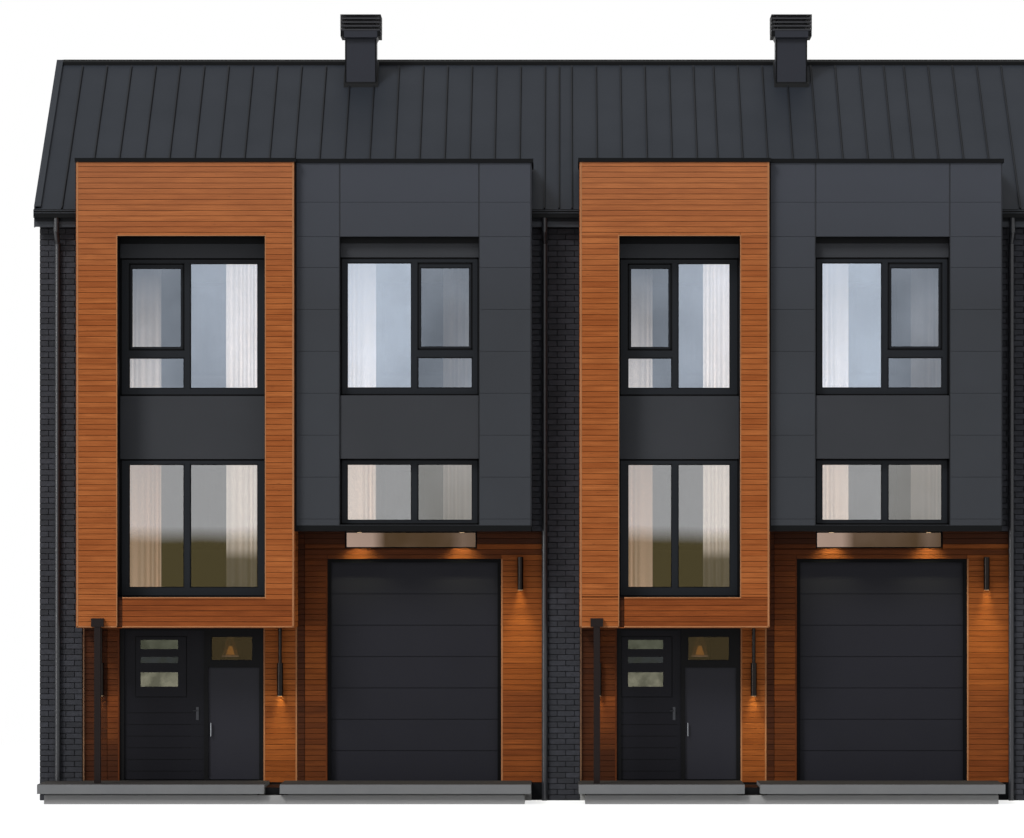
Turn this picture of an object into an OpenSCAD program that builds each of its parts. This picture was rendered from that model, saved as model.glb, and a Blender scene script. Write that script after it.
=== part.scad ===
// Terraced row of two three-storey houses, in millimetres.
// X runs along the row from the left end of the brickwork, Y goes into the row from the face of
// the timber bays, Z is up from the ground. row_frame() then puts the origin under the middle.

/* [Row] */
// Width of the brick strip left of the first bay
left_strip_w = 710; // [600:10:900]
// Width of the brick strip between the two houses
mid_strip_w = 820; // [760:10:1000]
// Width of the brick strip right of the last bay
right_strip_w = 820; // [760:10:1000]
// Width of the timber bay of the left house
timber_a_w = 3617; // [3400:1:4200]
// Width of the grey bay of the left house
grey_a_w = 3953; // [3700:1:4400]
// Width of the timber bay of the right house
timber_b_w = 3147; // [3000:1:3600]
// Width of the grey bay of the right house
grey_b_w = 3893; // [3700:1:4400]
// Thickness of the end walls and the wall between the houses
party_t = 300; // [240:10:360]
// Thickness of the front and rear brick walls
brick_t = 400; // [350:10:450]

/* [Planes] */
// Face of the grey bays behind the timber face
grey_set = 150; // [100:10:200]
// Face of the brickwork behind the timber face
brick_set = 900; // [850:10:1000]
// Face of the recessed ground-floor wall behind the brick face
ground_set = 100; // [60:10:140]
// Inner face of both bays behind the timber face
bay_depth = 600; // [560:10:640]
// Distance of the ridge behind the timber face
ridge_set = 4360; // [4200:10:5000]

/* [Levels] */
// Top of the ground slab
slab_top = 300; // [250:10:310]
// Rise of the concrete landings over the ground slab
landing_rise = 30; // [20:5:40]
// Underside of the timber bays
timber_base = 2930; // [2900:10:3000]
// Rise of the first floor over the underside of the timber bays
timber_floor_rise = 370; // [340:10:410]
// Rise of the floor over the garages over the underside of the grey bays
garage_floor_rise = 80; // [70:5:120]
// Rise of the second floor over the heads of the lower windows
second_floor_rise = 805; // [700:5:900]
// Height of the second storey from floor to floor
second_storey_h = 3150; // [3080:10:3250]
// Thickness of the floors
floor_t = 240; // [200:10:260]
// Rise of the metal edge at the eaves over the attic floor
eave_rise = 250; // [100:10:300]
// Rise of the walls of the bays over the metal edge at the eaves
bay_rise = 735; // [650:5:900]
// Pitch of the roof in degrees
roof_pitch = 37.8; // [36:0.1:40]

/* [Windows] */
// Left leg of the timber bay of the left house beside its opening
timber_leg_a = 675; // [600:5:750]
// Left leg of the timber bay of the right house beside its opening
timber_leg_b = 650; // [600:5:750]
// Right leg of a timber bay beside its opening
timber_leg_r = 482; // [450:1:600]
// Left column of the grey bay of the left house beside its opening
grey_leg_a = 758; // [700:1:820]
// Left column of the grey bay of the right house beside its opening
grey_leg_b = 783; // [700:1:820]
// Right column of a grey bay beside its opening
grey_leg_r = 870; // [820:5:920]
// Sill of the lower window of a timber bay over its floor
timber_sill_h = 130; // [100:5:200]
// Sill of the lower window of a grey bay over its underside
grey_sill_h = 20; // [15:5:40]
// Height of the lower windows in the grey bays
grey_window_h = 1105; // [1000:5:1150]
// Height of the panels between lower and upper windows
spandrel_h = 1055; // [1000:5:1100]
// Height of the upper windows
upper_window_h = 2315; // [2200:5:2350]
// Height of the panels over the upper windows
header_h = 335; // [250:5:400]
// Set-back of the windows in a timber bay
timber_reveal = 500; // [450:10:510]
// Set-back of the windows in a grey bay
grey_reveal = 180; // [160:10:220]
// Depth of a window frame
frame_d = 80; // [70:5:85]
// Width of the side members of a frame in a timber bay
timber_frame_side = 155; // [110:5:170]
// Width of the side members of a frame in a grey bay
grey_frame_side = 120; // [90:5:140]
// Height of the top member of a window frame
frame_head = 95; // [80:5:110]
// Height of the bottom member of an upper window frame
frame_foot = 135; // [110:5:150]
// Height of the bottom member of a lower frame in a timber bay
timber_foot = 165; // [120:5:180]
// Height of the bottom member of a lower frame in a grey bay
grey_foot = 80; // [60:5:110]
// Width of a mullion
mullion_w = 115; // [90:5:130]
// Height of the transom bar under an opening sash
transom_h = 140; // [110:5:180]
// Height of the low fixed pane under an opening sash
low_pane_h = 500; // [450:10:550]
// Width of the members of an opening sash
sash_w = 45; // [40:5:75]
// Height of the top member of an opening sash
sash_head = 80; // [60:5:95]
// Thickness of the glass units
glass_t = 24; // [20:1:30]
// Mullion of the timber bay of the left house, from the left of its opening
timber_mullion_a = 1125; // [1000:5:1250]
// Mullion of the timber bay of the right house, from the left of its opening
timber_mullion_b = 940; // [850:5:1050]
// Mullion of the grey bay of the left house, from the left of its opening
grey_mullion_a = 1245; // [1100:5:1300]
// Mullion of the grey bay of the right house, from the left of its opening
grey_mullion_b = 1170; // [1100:5:1300]

/* [Ground floor] */
// Timber wall left of the entrance
entrance_leg = 620; // [560:10:700]
// Width of the entrance frame of the left house
entrance_a_w = 2430; // [2300:10:2500]
// Width of the entrance frame of the right house
entrance_b_w = 2090; // [2000:10:2200]
// Width of the members of the entrance frame
jamb_w = 60; // [50:5:80]
// Width of the post between the two leaves
meeting_w = 40; // [36:2:60]
// Depth of the entrance frame
jamb_d = 105; // [100:5:130]
// Width of a narrow leaf
narrow_leaf_w = 890; // [820:10:920]
// Height of a narrow leaf
narrow_leaf_h = 1910; // [1800:10:2000]
// Thickness of the door leaves
leaf_t = 60; // [50:2:68]
// Gap round a door leaf
leaf_gap = 9; // [8:1:10]
// Height of the threshold
threshold_h = 40; // [36:2:50]
// Height of the bar between the narrow leaf and the transom light
transom_bar_h = 115; // [100:5:160]
// Garage opening left of the door, from the left of the grey bay
garage_leg = 510; // [450:10:600]
// Height of the garage opening over the ground slab
garage_h = 3770; // [3650:10:3850]
// Width of the lining round the garage door
garage_lining = 60; // [50:5:80]
// Number of sections in a garage door
garage_sections = 7; // [5:1:8]
// Height of the lintel between the garage opening and the glass strip
lintel_h = 177; // [150:1:220]
// Height of the glass strip over the garage
strip_h = 288; // [240:4:320]
// Thickness of the dark soffit under the grey bays
soffit_t = 85; // [60:5:110]
// Timber wall right of the garage, past the side of the grey bay
timber_past_bay = 230; // [150:10:260]

/* [Landings] */
// How far the landings reach in front of the timber face
landing_reach = 500; // [300:10:700]
// Thickness of the upper slab of a landing
landing_t = 155; // [130:5:170]
// Height of the shadow joint under it
shadow_joint = 25; // [15:5:35]
// Inset of the lower slab of a landing
landing_inset = 105; // [80:5:140]
// Gap between the two landings of a house
landing_gap = 260; // [200:10:320]

/* [Roof] */
// Height of the roof deck, measured plumb
deck_h = 290; // [200:10:300]
// Overhang of the roof in front of the brick face
eave_reach = 200; // [150:10:240]
// Overhang of the roof past the end walls
verge_reach = 60; // [40:5:90]
// Thickness of the metal sheets
sheet_t = 8; // [6:1:12]
// Distance between standing seams
seam_pitch = 427; // [380:1:520]
// First seam from the left edge of the sheets
seam_start = 446; // [300:1:600]
// Height of a standing seam
seam_h = 32; // [25:1:45]
// Width of a standing seam
seam_w = 20; // [14:1:30]
// Length of the ridge cap down each slope
ridge_cap_l = 120; // [100:5:240]
// Height of the gutters
gutter_h = 140; // [110:5:160]
// Width of the gutters
gutter_w = 110; // [100:5:130]
// Diameter of the downpipes
pipe_d = 92; // [80:2:110]

/* [Chimneys] */
// Chimney of the left house, from the left of the grey bay
chimney_a_at = 958; // [800:1:1600]
// Chimney of the right house, from the left of the grey bay
chimney_b_at = 553; // [450:1:1600]
// Width of a chimney shaft
shaft_w = 544; // [480:2:640]
// Front face of the chimneys in front of the ridge
shaft_front = 610; // [600:10:800]
// Depth of a chimney shaft
shaft_d = 520; // [480:10:580]
// Rise of the chimney shafts over the ridge of the deck
shaft_rise = 366; // [300:2:600]
// Height of a louvred cap with the hopper under it
cap_h = 440; // [360:10:520]
// Overhang of a cap past its shaft
cap_reach = 80; // [50:2:100]

/* [Hidden] */

HOUSES = [0, 1];
brick_grey = "#303238";
timber_brown = "#A8643F";
panel_grey = "#3F434B";
metal_grey = "#3E434B";
frame_black = "#1E2224";
concrete_grey = "#8B8C8E";
glass_blue = "#A9BBC9";

// Places along the row
function timber_w(h) = h == 0 ? timber_a_w : timber_b_w;
function grey_w(h) = h == 0 ? grey_a_w : grey_b_w;
function timber_x(h) = left_strip_w + (h == 0 ? 0 : timber_a_w + grey_a_w + mid_strip_w);
function grey_x(h) = timber_x(h) + timber_w(h);
function bays_end(h) = grey_x(h) + grey_w(h);
row_w = bays_end(1) + right_strip_w;
party_x = bays_end(0) + (mid_strip_w - party_t) / 2;
function room_x0(h) = h == 0 ? party_t : party_x + party_t;
function room_x1(h) = h == 0 ? party_x : row_w - party_t;

// Levels from the ground up
landing_top = slab_top + landing_rise;
first_floor_top = timber_base + timber_floor_rise;
garage_head = slab_top + garage_h;
strip_sill = garage_head + lintel_h;
soffit_base = strip_sill + strip_h;
grey_base = soffit_base + soffit_t;
raised_floor_top = grey_base + garage_floor_rise;
timber_sill = first_floor_top + timber_sill_h;
grey_sill = grey_base + grey_sill_h;
lower_head = grey_sill + grey_window_h;
upper_sill = lower_head + spandrel_h;
upper_head = upper_sill + upper_window_h;
opening_top = upper_head + header_h;
second_floor_top = lower_head + second_floor_rise;
attic_floor_top = second_floor_top + second_storey_h;
eave_z = attic_floor_top + eave_rise;
bay_top = eave_z + bay_rise;

// Places from front to rear
ground_y = brick_set + ground_set;
inner_y = brick_set + brick_t;
rear_y = 2 * ridge_set - brick_set;
eave_y = brick_set - eave_reach;
row_y0 = -landing_reach;
row_y1 = 2 * ridge_set - eave_y + gutter_w;
rear_inner_y = rear_y - brick_t;

// Openings in the bays
function timber_leg_l(h) = h == 0 ? timber_leg_a : timber_leg_b;
function timber_open_x(h) = timber_x(h) + timber_leg_l(h);
function timber_open_w(h) = timber_w(h) - timber_leg_l(h) - timber_leg_r;
function timber_mullion(h) = h == 0 ? timber_mullion_a : timber_mullion_b;
function grey_leg_l(h) = h == 0 ? grey_leg_a : grey_leg_b;
function grey_open_x(h) = grey_x(h) + grey_leg_l(h);
function grey_open_w(h) = grey_w(h) - grey_leg_l(h) - grey_leg_r;
function grey_mullion(h) = h == 0 ? grey_mullion_a : grey_mullion_b;
grey_window_y = grey_set + grey_reveal;

// Roof surfaces
slope = tan(roof_pitch);
shaft_top = round(eave_z - sheet_t + (ridge_set - eave_y) * slope + shaft_rise);
function deck_top(y) = eave_z - sheet_t + (y - eave_y) * slope;
function deck_low(y) = deck_top(y) - deck_h;
coping_h = 65;
bay_cut_y = ceil(eave_y + (bay_top + coping_h - eave_z) / slope);

// How far the parts of one solid run into each other
lap = 1;

module row_frame() {
    translate([-row_w / 2, -(row_y0 + row_y1) / 2, 0]) children();
}

module slab(x0, y0, z0, x1, y1, z1) {
    translate([x0, y0, z0]) cube([x1 - x0, y1 - y0, z1 - z0]);
}

// A profile drawn in Y and Z, run along X
module along_x(x0, x1) {
    translate([x0, 0, 0]) rotate([90, 0, 90]) linear_extrude(x1 - x0) children();
}

// A profile drawn in X and Z, run along Y
module along_y(y0, y1) {
    translate([0, y1, 0]) rotate([90, 0, 0]) linear_extrude(y1 - y0) children();
}

// How far a cutting body runs past what it cuts
cut_past = 1000;
module under_roof() {
    along_x(-cut_past, row_w + cut_past)
        polygon([[eave_y - 200, -1], [eave_y - 200, deck_low(eave_y - 200)],
            [ridge_set, deck_low(ridge_set)],
            [2 * ridge_set - eave_y + 200, deck_low(eave_y - 200)],
            [2 * ridge_set - eave_y + 200, -1]]);
}

module gable_wall(x0) {
    intersection() {
        slab(x0, inner_y, 0, x0 + party_t, rear_y, deck_low(ridge_set) + 1);
        under_roof();
    }
}

module ground_slabs() {
    color(concrete_grey) for (h = HOUSES) {
        slab(room_x0(h), inner_y, 0, room_x1(h), rear_inner_y, slab_top);
        slab(timber_x(h), ground_y, 0, bays_end(h) + timber_past_bay, inner_y + 1, slab_top);
    }
}

module left_end_wall() {
    color(brick_grey) gable_wall(0);
}

module party_wall() {
    color(brick_grey) gable_wall(party_x);
}

module right_end_wall() {
    color(brick_grey) gable_wall(row_w - party_t);
}

module brick_pier(x0, x1, ground_cut) {
    slab(x0 + ground_cut, brick_set, 0, x1, inner_y, soffit_base + lap);
    slab(x0, brick_set, soffit_base, x1, inner_y, deck_top(inner_y));
}

module front_brick_piers() {
    color(brick_grey) intersection() {
        union() {
            slab(0, brick_set, 0, left_strip_w, inner_y, deck_top(inner_y));
            brick_pier(bays_end(0), timber_x(1), timber_past_bay);
            brick_pier(bays_end(1), row_w, timber_past_bay);
        }
        under_roof();
    }
}

// Rear windows stand behind the front ones: [x, width, sill, head]
rear_window_w = 1500;
rear_window_h = 1500;
rear_sill_rise = 850;
rear_ground_sill = slab_top + rear_sill_rise;
rear_garage_sill_h = 100;
function rear_windows(h) = let (
    xt = timber_open_x(h) + (timber_open_w(h) - rear_window_w) / 2,
    xg = grey_open_x(h) + (grey_open_w(h) - rear_window_w) / 2
) [
    [xt, rear_window_w, rear_ground_sill, rear_ground_sill + rear_window_h],
    [xg, rear_window_w, rear_ground_sill, rear_ground_sill + rear_window_h],
    [xt, rear_window_w, lower_head - rear_window_h, lower_head],
    [xg, rear_window_w, raised_floor_top + rear_garage_sill_h, lower_head],
    [xt, rear_window_w, upper_head - rear_window_h - 200, upper_head],
    [xg, rear_window_w, upper_head - rear_window_h - 200, upper_head]
];

module rear_wall(h) {
    intersection() {
        difference() {
            slab(room_x0(h), rear_inner_y, 0, room_x1(h), rear_y, deck_top(inner_y));
            for (w = rear_windows(h))
                slab(w[0], rear_inner_y - 1, w[2], w[0] + w[1], rear_y + 1, w[3]);
        }
        under_roof();
    }
}

module rear_wall_a() {
    color(brick_grey) rear_wall(0);
}

module rear_wall_b() {
    color(brick_grey) rear_wall(1);
}

rear_frame_w = 70;
module rear_window_frames() {
    color(frame_black) for (h = HOUSES, w = rear_windows(h)) difference() {
        slab(w[0], rear_y - 180, w[2], w[0] + w[1], rear_y - 180 + frame_d, w[3]);
        for (i = [0, 1]) let (
            pane_w = (w[1] - 3 * rear_frame_w) / 2,
            x0 = w[0] + rear_frame_w + i * (pane_w + rear_frame_w)
        )
            slab(x0, rear_y - 181, w[2] + rear_frame_w,
                x0 + pane_w, rear_y - 179 + frame_d, w[3] - rear_frame_w);
    }
}

module rear_window_glass() {
    color(glass_blue, 0.5) for (h = HOUSES, w = rear_windows(h), i = [0, 1]) let (
        pane_w = (w[1] - 3 * rear_frame_w) / 2,
        x0 = w[0] + rear_frame_w + i * (pane_w + rear_frame_w),
        y0 = rear_y - 180 + (frame_d - glass_t) / 2
    )
        slab(x0, y0, w[2] + rear_frame_w, x0 + pane_w, y0 + glass_t, w[3] - rear_frame_w);
}

// The first floor steps up over the garage
step_t = 200;
module first_floors() {
    color(concrete_grey) for (h = HOUSES) {
        slab(room_x0(h), inner_y, first_floor_top - floor_t,
            grey_x(h), rear_inner_y, first_floor_top);
        slab(grey_x(h) - step_t, inner_y, first_floor_top - floor_t,
            grey_x(h), rear_inner_y, raised_floor_top);
        slab(grey_x(h) - step_t, inner_y, raised_floor_top - 100,
            room_x1(h), rear_inner_y, raised_floor_top);
    }
}

module upper_floors() {
    color(concrete_grey) for (h = HOUSES, z = [second_floor_top, attic_floor_top])
        slab(room_x0(h), inner_y, z - floor_t, room_x1(h), rear_inner_y, z);
}

module bay_footprint(y0, y1, z0, z1) {
    for (h = HOUSES) slab(timber_x(h), y0, z0, bays_end(h), y1, z1);
}

module front_slope_profile(low, high) {
    polygon([[eave_y, deck_top(eave_y) + low], [eave_y, deck_top(eave_y) + high],
        [ridge_set, deck_top(ridge_set) + high], [ridge_set, deck_top(ridge_set) + low]]);
}

module mirror_at_ridge() {
    translate([0, 2 * ridge_set, 0]) mirror([0, 1, 0]) children();
}

module front_roof_deck() {
    color(metal_grey) difference() {
        along_x(-verge_reach, row_w + verge_reach) front_slope_profile(-deck_h, 0);
        bay_footprint(eave_y - 1, bay_cut_y, 0, bay_top + cut_past);
    }
}

module rear_roof_deck() {
    color(metal_grey) mirror_at_ridge()
        along_x(-verge_reach, row_w + verge_reach) front_slope_profile(-deck_h, 0);
}

// Sheets with upright seams: one outline in X and height, run up the slope
sheet_x0 = -verge_reach;
sheet_x1 = row_w + verge_reach;
verge_w = 92;
// The sheets of the right house start again beside the wall between the houses
party_seam_at = 205;
party_seam_gap = 218;
party_seam_x = party_x + party_seam_at;
// Two of its sheets are narrower, counted from that wall
narrow_sheets = [6, 14];
narrow_less = 75;
function right_seam(k) = party_seam_x + party_seam_gap + k * seam_pitch
    - narrow_less * len([for (n = narrow_sheets) if (k >= n) n]);
last_seam_x = sheet_x1 - verge_w - seam_w;
seams = concat(
    [for (x = [sheet_x0 + seam_start:seam_pitch:party_x]) x],
    [party_seam_x],
    [for (k = [0:ceil(row_w / seam_pitch)]) if (right_seam(k) < last_seam_x) right_seam(k)]
);
slope_l = (ridge_set - eave_y) / cos(roof_pitch);

module sheet_outline() {
    polygon(concat(
        [[sheet_x0, 0], [sheet_x0, sheet_t]],
        [for (x = seams) each [
            [x - seam_w / 2, sheet_t], [x - seam_w / 2, sheet_t + seam_h],
            [x + seam_w / 2, sheet_t + seam_h], [x + seam_w / 2, sheet_t]]],
        [[sheet_x1, sheet_t], [sheet_x1, 0]]
    ));
}

// Lays what is drawn along X, up the slope and square to it, a hair over the deck
sheet_seat = 0.1;
cap_seat = 0.2;
module on_slope() {
    translate([0, eave_y, deck_top(eave_y) + sheet_seat]) rotate([roof_pitch, 0, 0]) children();
}

function shaft_x(h) = grey_x(h) + (h == 0 ? chimney_a_at : chimney_b_at) - shaft_w / 2;
shaft_y = ridge_set - shaft_front;
shaft_foot = floor(deck_top(shaft_y)) - 10;
flashing = 26;

// Where the shafts and their flashings pass through the sheets and the ridge cap
module shaft_holes() {
    for (h = HOUSES)
        slab(shaft_x(h) - flashing, shaft_y - flashing, 0, shaft_x(h) + shaft_w + flashing,
            shaft_y + shaft_d + flashing, shaft_top);
}

module slope_sheet() {
    on_slope() difference() {
        rotate([-90, 0, 0]) mirror([0, 1, 0]) linear_extrude(slope_l) sheet_outline();
        slab(sheet_x0 - 1, slope_l - ridge_cap_l, sheet_t,
            sheet_x1 + 1, slope_l + 1, sheet_t + seam_h + 1);
    }
}

module front_roof_sheet() {
    color(metal_grey) difference() {
        slope_sheet();
        bay_footprint(eave_y - 100, bay_cut_y, 0, bay_top + cut_past);
        shaft_holes();
        slab(sheet_x0 - 1, ridge_set, 0, sheet_x1 + 1, ridge_set + 200, shaft_top);
    }
}

module rear_roof_sheet() {
    color(metal_grey) mirror_at_ridge() difference() {
        slope_sheet();
        slab(sheet_x0 - 1, ridge_set, 0, sheet_x1 + 1, ridge_set + 200, shaft_top);
    }
}

cap_leg = ridge_cap_l * cos(roof_pitch);
sheet_plumb = sheet_t / cos(roof_pitch);
ridge_cap_h = 60;
module ridge_cap() {
    z0 = deck_top(ridge_set) + sheet_plumb + sheet_seat + cap_seat;
    leg = cap_leg - 30;
    color(metal_grey) difference() {
        along_x(sheet_x0 + verge_w, sheet_x1 - verge_w)
            polygon([[ridge_set - leg, z0 - leg * slope],
                [ridge_set - leg, z0 - leg * slope + ridge_cap_h],
                [ridge_set, z0 + ridge_cap_h], [ridge_set + leg, z0 - leg * slope + ridge_cap_h],
                [ridge_set + leg, z0 - leg * slope], [ridge_set, z0]]);
        shaft_holes();
    }
}

// A board outside each gable, with a cover that laps over the edge of the sheets
verge_t = 20;
verge_drop = 10;
verge_cover_t = 16;
verge_seat = 0.3;
verge_up = (sheet_t + seam_h) / cos(roof_pitch) + verge_cover_t;

module both_slopes_profile(low, high) {
    polygon([[eave_y, deck_top(eave_y) + low], [eave_y, deck_top(eave_y) + high],
        [ridge_set, deck_top(ridge_set) + high],
        [2 * ridge_set - eave_y, deck_top(eave_y) + high],
        [2 * ridge_set - eave_y, deck_top(eave_y) + low],
        [ridge_set, deck_top(ridge_set) + low]]);
}

module verge_trim() {
    board_x1 = sheet_x0 - verge_seat;
    along_x(board_x1 - verge_t, board_x1) both_slopes_profile(-deck_h - verge_drop, verge_up);
    along_x(board_x1 - lap, sheet_x0 + verge_w - lap)
        both_slopes_profile(verge_up - verge_cover_t, verge_up);
}

module verge_trims() {
    color(metal_grey) {
        verge_trim();
        translate([row_w, 0, 0]) mirror([1, 0, 0]) verge_trim();
    }
}

gutter_t = 8;
gutter_top = eave_z - sheet_t - 2;
module gutter(x0, x1) {
    difference() {
        slab(x0, eave_y - gutter_w, gutter_top - gutter_h, x1, eave_y, gutter_top);
        slab(x0 + gutter_t, eave_y - gutter_w + gutter_t, gutter_top - gutter_h + gutter_t,
            x1 - gutter_t, eave_y - gutter_t, gutter_top + 1);
    }
}

module gutters() {
    color(metal_grey) {
        gutter(sheet_x0 - verge_t, left_strip_w - 1);
        gutter(bays_end(0) + 1, timber_x(1) - 1);
        gutter(bays_end(1) + 1, sheet_x1 + verge_t);
        mirror_at_ridge() gutter(sheet_x0 - verge_t, sheet_x1 + verge_t);
    }
}

pipe_wall_gap = 10;
pipe_y = brick_set - pipe_d / 2 - pipe_wall_gap;
pipe_drop = 70;
pipe_elbow = 4;
pipe_clear = 6;
left_pipe_x = 300;
pipe_past_bay = 222;
pipe_xs = [left_pipe_x, bays_end(0) + pipe_past_bay, bays_end(1) + pipe_past_bay];
pipe_feet = [landing_top, 0, 0];
gutter_base = gutter_top - gutter_h;
bracket_levels = [1500, 4200, 6900];

module downpipe(x, foot) {
    r = pipe_d / 2;
    // The drop from the gutter passes in front of the deck, and the neck lies wholly below it
    drop_y = eave_y - pipe_clear / 2 - r;
    drop_z = deck_low(eave_y) - pipe_drop;
    neck_z = drop_z - (pipe_y - drop_y);
    translate([x, pipe_y, foot]) cylinder(h = neck_z - foot, r = r, $fn = 48);
    translate([x, pipe_y, neck_z]) sphere(r = r + pipe_elbow / 2, $fn = 48);
    translate([x, pipe_y, neck_z]) rotate([45, 0, 0])
        cylinder(h = (pipe_y - drop_y) * sqrt(2), r = r, $fn = 48);
    translate([x, drop_y, drop_z]) sphere(r = r + pipe_elbow / 2, $fn = 48);
    translate([x, drop_y, drop_z]) cylinder(h = gutter_base - drop_z, r = r, $fn = 48);
    for (z = bracket_levels) {
        translate([x, pipe_y, z]) cylinder(h = 30, r = r + 8, $fn = 48);
        slab(x - 15, pipe_y, z, x + 15, brick_set, z + 30);
    }
}

module downpipes() {
    color("#6A6C70") {
        for (i = [0:2]) downpipe(pipe_xs[i], pipe_feet[i]);
        mirror_at_ridge() for (x = pipe_xs) downpipe(x, 0);
    }
}

// A hopper that widens from the top of a shaft to the outline of its cap
hopper_h = 140;
hopper_lip = 6;
hopper_seat = 12;
cap_base = shaft_top + hopper_h;
function hopper_profile(a0, a1) = [
    [a0 - hopper_lip, shaft_top - hopper_seat], [a0 - hopper_lip, shaft_top],
    [a0 - cap_reach, cap_base], [a1 + cap_reach, cap_base],
    [a1 + hopper_lip, shaft_top], [a1 + hopper_lip, shaft_top - hopper_seat]
];

module hopper(x0, y0) {
    intersection() {
        along_x(x0 - cap_reach, x0 + shaft_w + cap_reach) polygon(hopper_profile(y0, y0 + shaft_d));
        along_y(y0 - cap_reach, y0 + shaft_d + cap_reach) polygon(hopper_profile(x0, x0 + shaft_w));
    }
}

module chimneys() {
    color(metal_grey) for (h = HOUSES) difference() {
        union() {
            slab(shaft_x(h), shaft_y, shaft_foot,
                shaft_x(h) + shaft_w, shaft_y + shaft_d, shaft_top);
            hopper(shaft_x(h), shaft_y);
            intersection() {
                slab(shaft_x(h) - flashing, shaft_y - flashing, shaft_foot - 100,
                    shaft_x(h) + shaft_w + flashing, shaft_y + shaft_d + flashing, shaft_top);
                along_x(shaft_x(h) - flashing, shaft_x(h) + shaft_w + flashing)
                    front_slope_profile(-10, 80);
            }
        }
        along_x(shaft_x(h) - 500, shaft_x(h) + shaft_w + 500) front_slope_profile(-700, 0);
    }
}

// A square louvre blade whose upper side slopes up to the core all round
module hipped_blade(x0, y0, x1, y1, z, edge_t, run, rise) {
    intersection() {
        along_x(x0, x1) polygon([[y0, z], [y0, z + edge_t], [y0 + run, z + edge_t + rise],
            [y1 - run, z + edge_t + rise], [y1, z + edge_t], [y1, z]]);
        along_y(y0, y1) polygon([[x0, z], [x0, z + edge_t], [x0 + run, z + edge_t + rise],
            [x1 - run, z + edge_t + rise], [x1, z + edge_t], [x1, z]]);
    }
}

blade_count = 4;
blade_edge_t = 24;
blade_rise = 14;
cap_core_in = 30;
cap_lid_t = 14;
cap_lid_rise = 20;
module chimney_caps() {
    color(metal_grey) for (h = HOUSES) {
        x0 = shaft_x(h) - cap_reach;
        y0 = shaft_y - cap_reach;
        x1 = shaft_x(h) + shaft_w + cap_reach;
        y1 = shaft_y + shaft_d + cap_reach;
        core = cap_reach + cap_core_in;
        lid_z = shaft_top + cap_h - cap_lid_t - cap_lid_rise;
        blade_pitch = (lid_z - cap_base) / blade_count;
        slab(x0 + core, y0 + core, cap_base, x1 - core, y1 - core, lid_z + lap);
        for (i = [0:blade_count - 1])
            hipped_blade(x0, y0, x1, y1, cap_base + i * blade_pitch, blade_edge_t, core, blade_rise);
        hipped_blade(x0, y0, x1, y1, lid_z, cap_lid_t, 2 * core, cap_lid_rise);
    }
}

// The flat roofs lie between the walls of the bays and the edge of the deck
bay_roof_top = bay_top - 60;
bay_roof_t = 160;
bay_side_t = 250;
module bay_roofs() {
    color("#2B2D30") for (h = HOUSES)
        slab(timber_x(h) + bay_side_t, bay_depth, bay_roof_top - bay_roof_t,
            bays_end(h) - bay_side_t, bay_cut_y, bay_roof_top);
}

coping_reach = 35;
roof_clear = 30;
module roof_beside_bays() {
    difference() {
        along_x(sheet_x0, sheet_x1) front_slope_profile(-deck_h - roof_clear, verge_up + roof_clear);
        bay_footprint(eave_y - 100, bay_cut_y, 0, bay_top + cut_past);
    }
}

module bay_copings() {
    color("#191B1E") difference() {
        for (h = HOUSES) {
            x0 = timber_x(h);
            x1 = bays_end(h);
            xm = grey_x(h);
            z1 = bay_top + coping_h;
            slab(x0 - coping_reach, -coping_reach, bay_top, xm + coping_reach, bay_depth, z1);
            slab(xm, grey_set - coping_reach, bay_top, x1 + coping_reach, bay_depth, z1);
            slab(x0 - coping_reach, 0, bay_top, x0 + bay_side_t, bay_cut_y, z1);
            slab(x1 - bay_side_t, grey_set, bay_top, x1 + coping_reach, bay_cut_y, z1);
        }
        roof_beside_bays();
    }
}

// A bay: front wall with its tall opening, bottom, and the floor strips between it and the rooms
module bay_shell(x0, w, face_y, base, floor_top, open_x, open_w, sill) {
    difference() {
        slab(x0, face_y, base, x0 + w, bay_depth, bay_top);
        slab(open_x, face_y - 1, sill, open_x + open_w, bay_depth + 1, opening_top);
    }
    slab(x0, bay_depth - 1, base, x0 + w, inner_y, floor_top);
    for (z = [second_floor_top, attic_floor_top])
        slab(x0, bay_depth - 1, z - floor_t, x0 + w, inner_y, z);
}

// An upright slot parts the wall under the lower window from the left leg
foot_slot_w = 82;
foot_slot_d = 260;
module timber_bay(h) {
    x0 = timber_x(h);
    x1 = grey_x(h);
    xs = timber_open_x(h);
    difference() {
        bay_shell(x0, timber_w(h), 0, timber_base, first_floor_top, xs, timber_open_w(h), timber_sill);
        slab(xs, -1, timber_base - 1, xs + foot_slot_w, foot_slot_d, timber_sill + 1);
    }
    slab(x0, bay_depth - 1, timber_base, x0 + bay_side_t, inner_y, bay_top);
    slab(x0, inner_y - 1, attic_floor_top, x0 + bay_side_t, bay_cut_y, bay_top);
    slab(x1 - bay_side_t, bay_depth - 1, timber_base, x1, inner_y, raised_floor_top);
}

module grey_bay(h) {
    x1 = bays_end(h);
    bay_shell(grey_x(h), grey_w(h), grey_set, grey_base, raised_floor_top,
        grey_open_x(h), grey_open_w(h), grey_sill);
    slab(x1 - bay_side_t, bay_depth - 1, grey_base, x1, inner_y, bay_top);
    slab(x1 - bay_side_t, inner_y - 1, attic_floor_top, x1, bay_cut_y, bay_top);
}

module timber_bay_a() {
    color(timber_brown) timber_bay(0);
}

module timber_bay_b() {
    color(timber_brown) timber_bay(1);
}

module grey_bay_a() {
    color(panel_grey) grey_bay(0);
}

module grey_bay_b() {
    color(panel_grey) grey_bay(1);
}

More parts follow.
